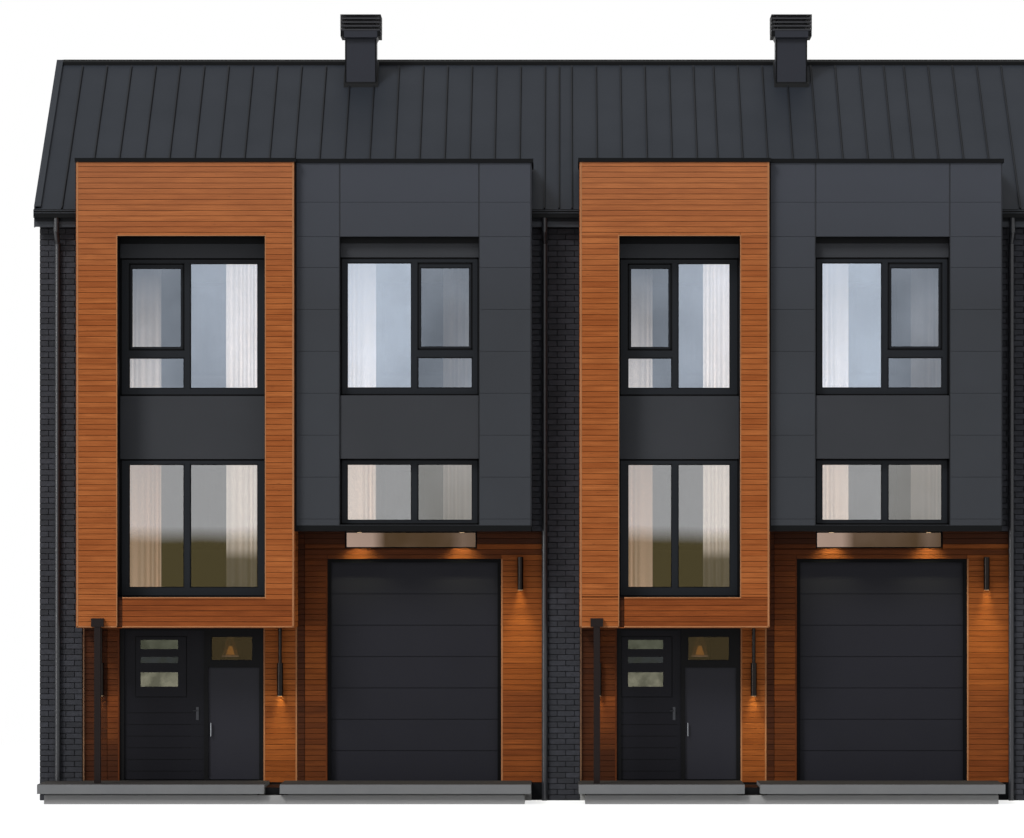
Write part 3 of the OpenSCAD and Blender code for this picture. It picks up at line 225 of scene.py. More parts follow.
def mortar():
    """Dark tinted cement mortar outside, raked back and gritty, and trowelled plaster inside, painted mid grey
    for the shade of the rooms.
    """
    material, tree = start_finish("mortar_and_inner_plaster", "#26272B", {
        "Roughness": 0.92, "Specular IOR Level": 0.2})
    place = add(tree, "ShaderNodeTexCoord").outputs["Object"]
    # Grit is about 5 mm wide, and stains are about 700 mm
    grit = add(tree, "ShaderNodeTexNoise", {"Vector": place, "Scale": 220.0, "Detail": 3.0})
    stain = add(tree, "ShaderNodeTexNoise", {"Vector": place, "Scale": 1.5, "Detail": 3.0})
    paint_over(material, stain, "#313237")
    # The rooms lie between the inner faces of the end, front and rear walls
    rooms_low = Vector((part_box("left_end_wall")[1].x - 0.02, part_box("front_brick_piers")[1].y - 0.02, 0.25))
    rooms_high = Vector((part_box("right_end_wall")[0].x + 0.02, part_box("rear_wall_a")[0].y + 0.02, 9.5))
    middle = (rooms_low + rooms_high) / 2
    reach = (rooms_high - rooms_low) / 2
    axes = add(tree, "ShaderNodeSeparateXYZ", {"Vector": place})
    inner = 1.0
    for axis in range(3):
        within = add(tree, "ShaderNodeMath", {0: axes.outputs[axis], 1: middle[axis], 2: reach[axis]},
                     operation="COMPARE")
        inner = add(tree, "ShaderNodeMath", {0: inner, 1: within}, operation="MULTIPLY")
    # Painted shade: the plaster is a mid grey, as the rooms lie dim
    plaster = add(tree, "ShaderNodeMix", {0: stain, 6: rgba("#6E6A63"), 7: rgba("#7C7870")},
                  data_type="RGBA")
    paint_over(material, inner, plaster.outputs[2])
    feed(shader_of(material), {"Normal": add(tree, "ShaderNodeBump", {
        "Height": grit, "Strength": 0.4, "Distance": 0.002})})
    return material


def larch(name, light, middle, dark):
    """Oiled larch board: long grain streaks, a tone of its own for each board, silky."""
    material, tree = start_finish(name, middle, {"IOR": 1.48, "Specular IOR Level": 0.12})
    surface = add(tree, "ShaderNodeUVMap", uv_map="surface")
    # Growth rings show as streaks 4 to 12 mm high and about 1 m long
    streaks = add(tree, "ShaderNodeTexNoise", {
        "Vector": add(tree, "ShaderNodeMapping", {"Vector": surface, "Scale": (1.1, 105.0, 1.0)}),
        "Scale": 1.0, "Detail": 6.0, "Roughness": 0.6, "Distortion": 0.35})
    # Weathering varies over half a metre or so
    patches = add(tree, "ShaderNodeTexNoise", {
        "Vector": add(tree, "ShaderNodeMapping", {"Vector": surface, "Scale": (1.0, 2.6, 1.0)}),
        "Scale": 1.7, "Detail": 3.0})
    # Knots are dark spots 20 mm wide, a few on each metre
    knots = add(tree, "ShaderNodeTexVoronoi", {
        "Vector": add(tree, "ShaderNodeMapping", {"Vector": surface, "Scale": (2.2, 9.0, 1.0)}),
        "Scale": 1.0})
    paint_over(material, add(tree, "ShaderNodeAttribute", attribute_name="tone").outputs["Fac"], light)
    for pattern, low, high, thin, full, colour in (
            (streaks, 0.36, 0.7, 0.0, 0.85, dark), (patches, 0.35, 0.7, 0.0, 0.45, dark),
            (knots, 0.02, 0.09, 0.55, 0.0, "#4A2412")):
        paint_over(material, add(tree, "ShaderNodeMapRange", {
            "Value": pattern, "From Min": low, "From Max": high, "To Min": thin, "To Max": full}), colour)
    feed(shader_of(material), {
        "Roughness": add(tree, "ShaderNodeMapRange", {"Value": streaks, "To Min": 0.42, "To Max": 0.66}),
        "Normal": add(tree, "ShaderNodeBump", {"Height": streaks, "Strength": 0.3, "Distance": 0.002})})
    return material


def coated_sheet(name, base, shade, rough_low, rough_high, gloss, use_tone=False):
    """Stove-enamelled steel or aluminium sheet: even colour, faint clouds, a very fine orange peel."""
    material, tree = start_finish(name, base, {"IOR": 1.5, "Specular IOR Level": gloss})
    place = add(tree, "ShaderNodeTexCoord").outputs["Object"]
    # Clouds are about a metre wide
    clouds = add(tree, "ShaderNodeTexNoise", {"Vector": place, "Scale": 0.9, "Detail": 4.0})
    # Orange peel is about 4 mm from crest to crest, coarser than real so that it shows
    peel = add(tree, "ShaderNodeTexNoise", {"Vector": place, "Scale": 240.0, "Detail": 2.0})
    paint_over(material, clouds, shade)
    if use_tone:
        tone = add(tree, "ShaderNodeAttribute", attribute_name="tone").outputs["Fac"]
        paint_over(material, add(tree, "ShaderNodeMapRange", {"Value": tone, "To Max": 0.35}), shade)
    swell = add(tree, "ShaderNodeBump", {"Height": clouds, "Strength": 0.25, "Distance": 0.012})
    feed(shader_of(material), {
        "Roughness": add(tree, "ShaderNodeMapRange", {
            "Value": clouds, "To Min": rough_low, "To Max": rough_high}),
        "Normal": add(tree, "ShaderNodeBump", {
            "Height": peel, "Strength": 0.08, "Distance": 0.0015, "Normal": swell})})
    return material


def window_glass(name, dim_low, dim_high, bright_low, bright_high, alpha, use_tone=False):
    """Sun-control glazing: a thin metal coat mirrors part of the light; its colour is painted reflection, cool
    and faintly uneven.
    """
    material, tree = start_finish(name, dim_low, {
        "Metallic": 1.0, "Roughness": 0.03, "Alpha": alpha})
    place = add(tree, "ShaderNodeTexCoord").outputs["Object"]
    # Painted reflection: soft clouds about a metre wide
    reflection_clouds = add(tree, "ShaderNodeTexNoise", {"Vector": place, "Scale": 0.9, "Detail": 3.0})
    reflection_shift = add(tree, "ShaderNodeMapRange", {
        "Value": reflection_clouds, "From Min": 0.3, "From Max": 0.7, "To Min": -0.08, "To Max": 0.08})
    # Painted reflection: the panes of the low storeys are painted darker and warmer than those of the high ones
    height = add(tree, "ShaderNodeSeparateXYZ", {"Vector": place}).outputs["Z"]
    high = add(tree, "ShaderNodeMapRange", {"Value": height, "From Min": 5.6, "From Max": 6.8})
    paint_over(material, high, dim_high)
    painted_reflection = add(tree, "ShaderNodeMix", {0: high, 6: rgba(bright_low), 7: rgba(bright_high)},
                 data_type="RGBA")
    # The tone of each pane shifts its painted reflection
    tone = add(tree, "ShaderNodeAttribute", attribute_name="tone").outputs["Fac"] if use_tone else 0.5
    amount = add(tree, "ShaderNodeMath", {0: tone, 1: reflection_shift}, operation="ADD", use_clamp=True)
    paint_over(material, amount, painted_reflection.outputs[2])
    return material


def dim_inside(material):
    """Dulls the inner faces of rear panes, so that they do not mirror the front windows."""
    tree = material.node_tree
    facing = add(tree, "ShaderNodeSeparateXYZ", {
        "Vector": add(tree, "ShaderNodeNewGeometry").outputs["Normal"]})
    paint_over(material, add(tree, "ShaderNodeMath", {0: facing.outputs["Y"], 1: -0.5},
                             operation="LESS_THAN"), "#17181A")


def door_strip_glass():
    """Patterned glass of the wide leaf, with painted reflections: each of the three strips is painted the tone
    of another height.
    """
    material, tree = start_finish("leaf_glazing_painted_reflections", "#878573", {
        "Metallic": 1.0, "Roughness": 0.06, "Alpha": 0.8})
    place = add(tree, "ShaderNodeTexCoord").outputs["Object"]
    height = add(tree, "ShaderNodeSeparateXYZ", {"Vector": place}).outputs["Z"]
    strips = sorted(box[0].z for box in solids("wide_leaf_glass_a"))
    # Painted reflection: the upper strips are painted darker and greener
    for foot, tint in zip(strips[1:], ("#3B3E3F", "#5C5E50")):
        paint_over(material, add(tree, "ShaderNodeMath", {0: height, 1: foot - 0.02},
                                 operation="GREATER_THAN"), tint)
    # Painted reflection: soft blotches about 200 mm wide
    reflection_blotch = add(tree, "ShaderNodeTexNoise", {"Vector": place, "Scale": 5.0, "Detail": 2.0})
    paint_over(material, add(tree, "ShaderNodeMapRange", {
        "Value": reflection_blotch, "From Min": 0.35, "From Max": 0.65, "To Min": 0.55, "To Max": 0.0}), "#34362A")
    return material


def small_finish(name, colour, shade, rough, gloss=0.1, glow=0.0):
    """A small part of one even colour: rubber, sealant, a dark profile, a warm filament, or a glass rim with a
    painted glow.
    """
    # Dust lies in clouds about 80 mm wide
    material = clouded_finish(name, colour, shade, 12.0, {
        "Roughness": rough, "Specular IOR Level": gloss, "Emission Strength": glow})
    paint = shader_of(material).inputs["Base Color"].links[0].from_socket
    feed(shader_of(material), {"Emission Color": paint})
    return material


def voile():
    """White polyester voile: a sheer plain weave, with a painted daylight glow."""
    material, tree = start_finish("white_woven_voile", "#F4E5D8", {
        "Roughness": 0.85, "Sheen Weight": 0.25})
    surface = add(tree, "ShaderNodeUVMap", uv_map="surface")
    # Threads are drawn 3 mm apart, far coarser than real voile, so that they show
    across, along = (
        add(tree, "ShaderNodeTexWave", {"Vector": surface, "Scale": 50.0}, bands_direction=axis)
        for axis in "XY")
    weave = add(tree, "ShaderNodeMath", {0: across.outputs["Fac"], 1: along.outputs["Fac"]},
                operation="MULTIPLY")
    paint_over(material, weave, "#FFF2E4")
    # Painted light: the curtains at the left downstairs are tinted warm
    paint_over(material, add(tree, "ShaderNodeAttribute", attribute_name="painted_warm_light").outputs["Fac"], "#F3C7A6")
    # Painted light: the crests of the folds, which face the street, glow more than their flanks
    facing = add(tree, "ShaderNodeSeparateXYZ", {
        "Vector": add(tree, "ShaderNodeNewGeometry").outputs["Normal"]})
    crest = add(tree, "ShaderNodeMath", {0: facing.outputs["Y"]}, operation="ABSOLUTE")
    crest_glow = add(tree, "ShaderNodeMapRange", {
        "Value": crest, "From Min": 0.58, "From Max": 0.96, "To Min": 0.3})
    painted_daylight = add(tree, "ShaderNodeAttribute", attribute_name="painted_daylight").outputs["Fac"]
    feed(shader_of(material), {
        "Normal": add(tree, "ShaderNodeBump", {"Height": weave, "Strength": 0.2, "Distance": 0.001}),
        "Emission Color": shader_of(material).inputs["Base Color"].links[0].from_socket,
        "Emission Strength": add(tree, "ShaderNodeMath", {0: painted_daylight, 1: crest_glow}, operation="MULTIPLY")})
    return material


def cast_concrete():
    """Cast concrete slab: grey, fine grained, with faint water marks and small air holes."""
    material, tree = start_finish("cast_concrete", "#606163", {
        "Roughness": 0.86, "Specular IOR Level": 0.3})
    place = add(tree, "ShaderNodeTexCoord").outputs["Object"]
    # Water marks are about 450 mm wide, grains about 6 mm, and air holes about 5 mm
    marks = add(tree, "ShaderNodeTexNoise", {"Vector": place, "Scale": 2.2, "Detail": 6.0})
    grains = add(tree, "ShaderNodeTexNoise", {"Vector": place, "Scale": 160.0, "Detail": 3.0})
    holes = add(tree, "ShaderNodeTexVoronoi", {"Vector": place, "Scale": 45.0})
    hole = add(tree, "ShaderNodeMapRange", {
        "Value": holes, "From Min": 0.05, "From Max": 0.14, "To Min": 1.0, "To Max": 0.0})
    # Painted light: the lower course is painted paler
    height = add(tree, "ShaderNodeSeparateXYZ", {"Vector": place}).outputs["Z"]
    low = add(tree, "ShaderNodeMath", {0: height, 1: 0.152}, operation="LESS_THAN")
    low = add(tree, "ShaderNodeMath", {0: low, 1: 0.7}, operation="MULTIPLY")
    # Painted shade: every top face is painted dark, as the tops under the soffits lie in shade
    facing = add(tree, "ShaderNodeSeparateXYZ", {
        "Vector": add(tree, "ShaderNodeNewGeometry").outputs["Normal"]}).outputs["Z"]
    top = add(tree, "ShaderNodeMath", {0: facing, 1: 0.7}, operation="GREATER_THAN")
    for mask, colour in ((marks, "#7D7D7B"), (grains, "#727374"), (hole, "#5E5F61"), (low, "#A2A19F"),
                         (top, "#231F1C")):
        paint_over(material, mask, colour)
    feed(shader_of(material), {"Normal": add(tree, "ShaderNodeBump", {
        "Height": grains, "Strength": 0.3, "Distance": 0.003})})
    return material


def brushed_steel(name, colour):
    """Brushed stainless steel of the handles, with fine upright scratches."""
    material, tree = start_finish(name, colour, {"Metallic": 1.0})
    place = add(tree, "ShaderNodeTexCoord").outputs["Object"]
    # Scratches are drawn 2 mm apart
    lines = add(tree, "ShaderNodeMapping", {"Vector": place, "Scale": (500.0, 500.0, 12.0)})
    scratch = add(tree, "ShaderNodeTexNoise", {"Vector": lines, "Scale": 1.0})
    feed(shader_of(material), {"Roughness": add(tree, "ShaderNodeMapRange", {
        "Value": scratch, "To Min": 0.22, "To Max": 0.4})})
    return material


def dress(material, *nodes):
    """Gives CAD nodes their material."""
    for node in nodes:
        mesh = NODES[node].data
        mesh.materials.clear()
        mesh.materials.append(material)


# Meshes


def set_in_scene(name, data, place=(0, 0, 0), turn=(0, 0, 0)):
    """Adds an object with its mesh, light or camera to the scene."""
    item = bpy.data.objects.new(name, data)
    item.location = place
    item.rotation_euler = turn
    bpy.context.scene.collection.objects.link(item)
    return item


def finish_piece(bm, name, body, materials, smooth=False):
    """Makes a bmesh into a piece that rides on a body and takes its finish from a slot."""
    mesh = bpy.data.meshes.new(name)
    bm.to_mesh(mesh)
    bm.free()
    for material in materials:
        mesh.materials.append(material)
    mesh.polygons.foreach_set("use_smooth", [smooth] * len(mesh.polygons))
    piece = set_in_scene(name, mesh)
    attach(piece, body)
    return piece


def on_wall(origin, along, up):
    """Places a flat pattern, drawn along x and up y with z outwards, on a wall."""
    place = Matrix((along, up, along.cross(up))).transposed().to_4x4()
    place.translation = origin
    return place


def put(bm, part, place):
    """Moves a part to its place and adds it to a piece."""
    bmesh.ops.transform(part, matrix=place, verts=part.verts)
    mesh = bpy.data.meshes.new("part")
    part.to_mesh(mesh)
    part.free()
    bm.from_mesh(mesh)
    bpy.data.meshes.remove(mesh)


def lattice(bm, columns, rows):
    """A grid of faces with its lines at the given columns and rows."""
    made = bmesh.ops.create_grid(
        bm, x_segments=len(columns) - 1, y_segments=len(rows) - 1, size=1.0)["verts"]
    for vert in made:
        column = round((vert.co.x + 1) / 2 * (len(columns) - 1))
        row = round((vert.co.y + 1) / 2 * (len(rows) - 1))
        vert.co = (columns[column], rows[row], 0.0)
    return list({face for vert in made for face in vert.link_faces})


def cut_away(bm, point, normal):
    """Cuts a pattern along a line and deletes what lies beyond it."""
    bmesh.ops.bisect_plane(bm, geom=bm.verts[:] + bm.edges[:] + bm.faces[:], dist=0.0001,
                           plane_co=point, plane_no=normal, clear_outer=True)


def crop(bm, width, height):
    """Trims a pattern to a wall's width and height."""
    for point, normal in (((0, 0, 0), -RIGHT), ((width, 0, 0), RIGHT), ((0, 0, 0), -BACK),
                          ((0, height, 0), BACK)):
        cut_away(bm, point, normal)


def cut_hole(bm, x0, x1, y0, y1):
    """Cuts a rectangular opening through a pattern."""
    for point, normal in (((x0, 0, 0), RIGHT), ((x1, 0, 0), RIGHT), ((0, y0, 0), BACK), ((0, y1, 0), BACK)):
        near = [face for face in bm.faces
                if max(v.co.x for v in face.verts) > x0 and min(v.co.x for v in face.verts) < x1
                and max(v.co.y for v in face.verts) > y0 and min(v.co.y for v in face.verts) < y1]
        geometry = list({item for face in near for item in (*face.verts, *face.edges, face)})
        bmesh.ops.bisect_plane(bm, geom=geometry, dist=0.0001, plane_co=point, plane_no=normal)
    inside = [face for face in bm.faces
              if x0 < face.calc_center_median().x < x1 and y0 < face.calc_center_median().y < y1]
    bmesh.ops.delete(bm, geom=inside, context="FACES")


def raise_cells(bm, gap, edge, depth, rng):
    """Turns every face of a pattern into a raised cell with a gap round it, with a tone of its own."""
    least = gap + 2 * edge + 0.004
    thin = []
    for face in bm.faces:
        across = [vert.co.x for vert in face.verts]
        upward = [vert.co.y for vert in face.verts]
        if min(max(across) - min(across), max(upward) - min(upward)) < least:
            thin.append(face)
    bmesh.ops.delete(bm, geom=thin, context="FACES")
    tone = bm.faces.layers.float.new("tone")
    surface = bm.loops.layers.uv.new("surface")
    cells = bm.faces[:]
    for face in cells:
        face[tone] = rng.random()
        shift = rng.uniform(0, 50)
        for loop in face.loops:
            loop[surface].uv = (loop.vert.co.x + shift, loop.vert.co.y)
    gaps = bmesh.ops.inset_individual(bm, faces=cells, thickness=gap / 2, depth=0.0,
                                      use_even_offset=True)["faces"]
    for face in gaps:
        face.material_index = 1
    bmesh.ops.inset_individual(bm, faces=cells, thickness=edge, depth=depth, use_even_offset=True)


def running_bond(width, height, length, course):
    """The faces of bricks in running bond, from a wall's left foot."""
    part = bmesh.new()
    rows = [row * course for row in range(math.ceil(height / course) + 1)]
    for shift in (0, 1):
        columns = [(column - shift / 2) * length for column in range(math.ceil(width / length) + 2)]
        faces = lattice(part, columns, rows)
        other = [face for face in faces
                 if math.floor(face.calc_center_median().y / course) % 2 != shift]
        bmesh.ops.delete(part, geom=other, context="FACES")
    crop(part, width, height)
    return part


def course_boards(width, height, pitch):
    """The faces of horizontal boards, from a wall's left foot."""
    part = bmesh.new()
    rows = [row * pitch for row in range(math.ceil(height / pitch) + 1)]
    lattice(part, [0.0, width], rows)
    crop(part, width, height)
    return part


def recolour(verts, kind):
    """Gives the faces at some points another of the piece's materials."""
    for face in {face for vert in verts for face in vert.link_faces}:
        face.material_index = kind


def block(bm, low, high, kind=0):
    """A box between two corners."""
    size = Vector(high) - Vector(low)
    place = Matrix.Translation((Vector(low) + Vector(high)) / 2) @ Matrix.Diagonal((*size, 1.0))
    verts = bmesh.ops.create_cube(bm, size=1.0, matrix=place)["verts"]
    recolour(verts, kind)
    return verts


def soft_block(bm, low, high, radius, segments=2, kind=0):
    """A box with rounded edges."""
    verts = block(bm, low, high, kind)
    edges = list({edge for vert in verts for edge in vert.link_edges})
    bmesh.ops.bevel(bm, geom=edges, offset=radius, segments=segments, profile=0.5,
                    affect="EDGES", material=-1)


def thicken(bm, offset):
    """Gives flat faces a thickness."""
    moved = bmesh.ops.extrude_face_region(bm, geom=bm.faces[:])["geom"]
    bmesh.ops.translate(bm, vec=(0, 0, offset),
                        verts=[item for item in moved if isinstance(item, bmesh.types.BMVert)])
    bmesh.ops.recalc_face_normals(bm, faces=bm.faces)


def opening(low, high):
    """Lowest and highest corner of a bay's opening, in the plane of its window frames."""
    frames = [box for box in solids("bay_window_frames") if low.x < box[0].x < high.x - 0.1]
    frame_low, frame_high = frames[0]
    foot = min(box[0].z for box in frames)
    head = max(box[1].z for box in solids("bay_panels") if abs(box[0].x - frame_low.x) < 0.01)
    return Vector((frame_low.x, frame_low.y, foot)), Vector((frame_high.x, frame_low.y, head))


# Settings that a user would change


def length_of(name, text, default):
    """A length in metres for the panel."""
    return bpy.props.FloatProperty(name=name, description=text, default=default, min=0.0, unit="LENGTH")


def colour_of(name, text, code):
    """A colour for the panel."""
    return bpy.props.FloatVectorProperty(
        name=name, description=text, default=linear(code), subtype="COLOR", size=3, min=0.0, max=1.0)


class BrickSettings(bpy.types.PropertyGroup):
    """The brick walls"""
    brick_length: length_of("Brick length", "Length of a brick with its joint", 0.29)
    course: length_of("Course", "Height of a course with its joint", 0.0945)
    joint: length_of("Joint", "Width of the mortar joint", 0.009)
    relief: length_of("Relief", "How far the bricks stand out of the mortar", 0.006)
    brick_dark: colour_of("Dark brick", "Darkest bricks", "#26272C")
    brick_light: colour_of("Light brick", "Lightest bricks", "#3B3C43")


class BoardSettings(bpy.types.PropertyGroup):
    """The timber boards"""
    pitch: length_of("Board pitch", "Height of a board with its gap", 0.0914)
    gap: length_of("Gap", "Open gap between two boards", 0.0048)
    thickness: length_of("Thickness", "How far the boards stand out of the wall", 0.014)
    trim: length_of("Trim", "Width of the upright trims at the corners", 0.026)


class PanelSettings(bpy.types.PropertyGroup):
    """The grey cladding panels"""
    joint: length_of("Upright joint", "Width of the open joint between two panels", 0.02)
    lap: length_of("Level joint", "Width of the lapped joint between two panels", 0.003)
    thickness: length_of("Panel thickness", "How far the panels stand out of the wall", 0.008)
    storey: length_of("Panel height", "Height of the panels beside the windows", 0.70)


class CurtainSettings(bpy.types.PropertyGroup):
    """The curtains"""
    fold_depth: length_of("Fold depth", "Depth of a fold from crest to trough", 0.07)
    fold_width: length_of("Fold width", "Width of a gathered fold", 0.17)


class TerraceSettings(bpy.types.PropertyGroup):
    """All settings of the row"""
    bricks: bpy.props.PointerProperty(type=BrickSettings)
    boards: bpy.props.PointerProperty(type=BoardSettings)
    panels: bpy.props.PointerProperty(type=PanelSettings)
    curtains: bpy.props.PointerProperty(type=CurtainSettings)


# Coated metal and stained boards: colour and its shade, least and greatest roughness, gloss, and nodes
SHEETS = (
    ("standing_seam_coated_steel", "#23272E", "#1D2127", 0.45, 0.6, 0.15,
     ("front_roof_sheet", "rear_roof_sheet")),
    ("folded_coated_steel", "#2B2D35", "#25272E", 0.45, 0.58, 0.2, ("chimneys",)),
    ("folded_verge_sheet", "#2A2E34", "#23262B", 0.45, 0.6, 0.15, ("verge_trims",)),
    ("grey_coated_louvre", "#3B3B3E", "#323235", 0.45, 0.55, 0.2, ("chimney_caps",)),
    # Painted shadow: the landing blocks are black for the shade between the landings
    ("black_coated_steel_flashing", "#0A0B0D", "#070809", 0.4, 0.5, 0.1,
     ("bay_copings", "gutters", "landing_blocks", "ridge_cap")),
    ("powder_coated_aluminium", "#191C21", "#15181C", 0.4, 0.52, 0.15,
     ("rear_window_frames", "bay_window_frames", "opening_sashes", "curtain_tracks")),
    ("black_coated_aluminium", "#0B0B0D", "#09090A", 0.45, 0.55, 0.1,
     ("entrance_frame_a", "entrance_frame_b")),
    ("brown_black_coated_steel", "#211A19", "#1B1514", 0.4, 0.5, 0.1, ("entrance_posts",)),
    ("black_steel_garage_frame", "#050506", "#030304", 0.5, 0.6, 0.06, ("garage_frames",)),
    ("dark_coated_panel", "#333438", "#2B2D30", 0.5, 0.62, 0.2, ("bay_panels", "grey_bay_a", "grey_bay_b")),
    ("black_door_enamel", "#121218", "#0F0F14", 0.4, 0.52, 0.12, ("wide_leaf_a", "wide_leaf_b")),
    ("anthracite_door_enamel", "#22222A", "#1C1C22", 0.4, 0.52, 0.2, ("narrow_leaf_a", "narrow_leaf_b")),
    ("stucco_embossed_steel", "#1D1D24", "#18181E", 0.45, 0.58, 0.15, ("garage_doors",)),
    ("grey_coated_steel_pipe", "#2B2C30", "#232427", 0.25, 0.32, 0.5, ("downpipes",)),
    ("stained_eaves_board", "#191B1F", "#131518", 0.55, 0.7, 0.15, ("front_roof_deck", "rear_roof_deck")),
)
# Oiled larch: plain boards and trims, a darker board for the aprons, and copies painted in the lights and
# shades of the front; lightest board, darkest board and late wood
LARCHES = {
    "open": ("oiled_larch_board", "#BD703A", "#A85D2C", "#7C3C15"),
    "dark_apron": ("darker_apron_larch_board", "#9E5425", "#88461C", "#632D0E"),
    "shaded": ("shaded_larch_board", "#7C4119", "#673311", "#421E08"),
    "deep_shade": ("deep_shade_larch_board", "#572B10", "#46210A", "#2C1305"),
    "lit": ("lit_larch_board", "#AC5F28", "#964F1D", "#69330F"),
    "half_lit": ("half_lit_larch_board", "#9A5323", "#84431B", "#592A0C"),
    "post_shade": ("larch_in_post_shade", "#9A5323", "#84431B", "#592A0C"),
    "painted_warm_light": ("warm_lit_larch_board", "#BE6C30", "#A65A23", "#753B12"),
    "trim": ("pale_larch_trim", "#C48A62", "#B37A52", "#91613C"),
    "painted_lit_trim": ("lit_larch_trim", "#F2C8A8", "#E0AF8C", "#C08E68"),
}
# The woods of each piece, with the felt behind the open joints second
BAY_WOODS = ("open", "felt", "dark_apron", "deep_shade")
GROUND_WOODS = ("shaded", "felt", "deep_shade", "lit", "painted_warm_light", "half_lit", "post_shade")
TRIM_WOODS = ("trim", "shaded", "painted_lit_trim")
# Painted daylight glow at the foot and the head of a curtain, by storey and bay: first behind a wide pane
# upstairs and at the left downstairs, then the others
PAINTED_DAYLIGHT = {
    ("upper", "timber"): ((2.7, 1.7), (2.2, -0.2)),
    ("upper", "grey"): ((2.1, 0.5), (0.3, 0.0)),
    ("lower", "timber"): ((1.7, 0.8), (-5.0, 14.0)),
    ("lower", "grey"): ((2.2, 1.9), (0.3, 0.6)),
}
# How far the raised windows of the wide leaves reach past the glass, in metres
WINDOW_IN = {"a": 0.076, "b": 0.11}


# Operators


class TERRACE_OT_finishes(bpy.types.Operator):
    """Give every CAD node the finish of its real material"""
    bl_idname = "terrace.finishes"
    bl_label = "Finish the CAD Nodes"

    def execute(self, context):
        for *finish, nodes in SHEETS:
            dress(coated_sheet(*finish), *nodes)
        # Painted shade: the upright seams are darker, and the feet of the chimney shafts are darker too
        sheets = bpy.data.materials
        repaint_over_deck(sheets["standing_seam_coated_steel"], 0.02, "#14161A", below=False)
        repaint_over_deck(sheets["folded_coated_steel"], DECK_H - 0.2, "#08090B", below=True)
        dress(mortar(), "left_end_wall", "party_wall", "right_end_wall", "front_brick_piers",
              "rear_wall_a", "rear_wall_b")
        dress(cast_concrete(), "ground_slabs", "first_floors", "upper_floors", "landings")

        dress(window_glass("sun_control_glazing", "#544C32", "#20262F", "#AEAFB0", "#CCD8E8", 0.6,
                           use_tone=True), "bay_window_glass")
        rear_glass = window_glass(
            "rear_sun_control_glazing", "#4A4F54", "#5A6470", "#8A9096", "#A7B2BD", 0.995)
        dim_inside(rear_glass)
        dress(rear_glass, "rear_window_glass")
        dress(window_glass("bronze_glazing", "#3E3522", "#3E3522", "#483E2B", "#483E2B", 0.6),
              "ground_floor_glass")
        window_glass("bronze_strip_glazing", "#3B2909", "#3B2909", "#B39A8B", "#B39A8B", 0.9, use_tone=True)
        dress(door_strip_glass(), "wide_leaf_glass_a", "wide_leaf_glass_b")
        dress(brushed_steel("black_oxide_steel", "#3E3F42"), "wide_leaf_handle_a", "wide_leaf_handle_b")
        dress(brushed_steel("brushed_stainless_steel", "#85878B"),
              "narrow_leaf_handle_a", "narrow_leaf_handle_b")
        dress(voile(), "curtains")

        # Dark felt behind the open joints of boards and panels: dull, nearly black, mottled 11 mm wide
        dress(clouded_finish("dark_breather_membrane", "#2A160B", "#3A2010", 90.0, {
            "Roughness": 0.95, "Specular IOR Level": 0.1}),
              "timber_bay_a", "timber_bay_b", "ground_timber_piers", "garage_lintels")
        # Hand-blown amber glass of the hall lamps, lit from inside, with ripples about 70 mm wide
        dress(clouded_finish("amber_blown_glass", "#E8C48A", "#F2DFB8", 14.0, {
            "Roughness": 0.08, "IOR": 1.5, "Alpha": 0.2, "Emission Color": rgba("#FFB45E"),
            "Emission Strength": 0.1}), "pendant_lamps")
        # Black chrome of the wall lamps: a dark, smooth plating with a clear highlight and 30 mm smears
        dress(clouded_finish("black_chrome_plate", "#1F1C1A", "#2B2725", 30.0, {
            "Metallic": 1.0, "Roughness": 0.26}), "lamps")
        # EPDM rubber sheet of the flat roofs: dull, with faint dust in clouds about 300 mm wide
        dress(clouded_finish("epdm_rubber_sheet", "#232427", "#34353A", 3.0, {
            "Roughness": 0.85, "Specular IOR Level": 0.3}, detail=6.0), "bay_roofs")
        return {"FINISHED"}


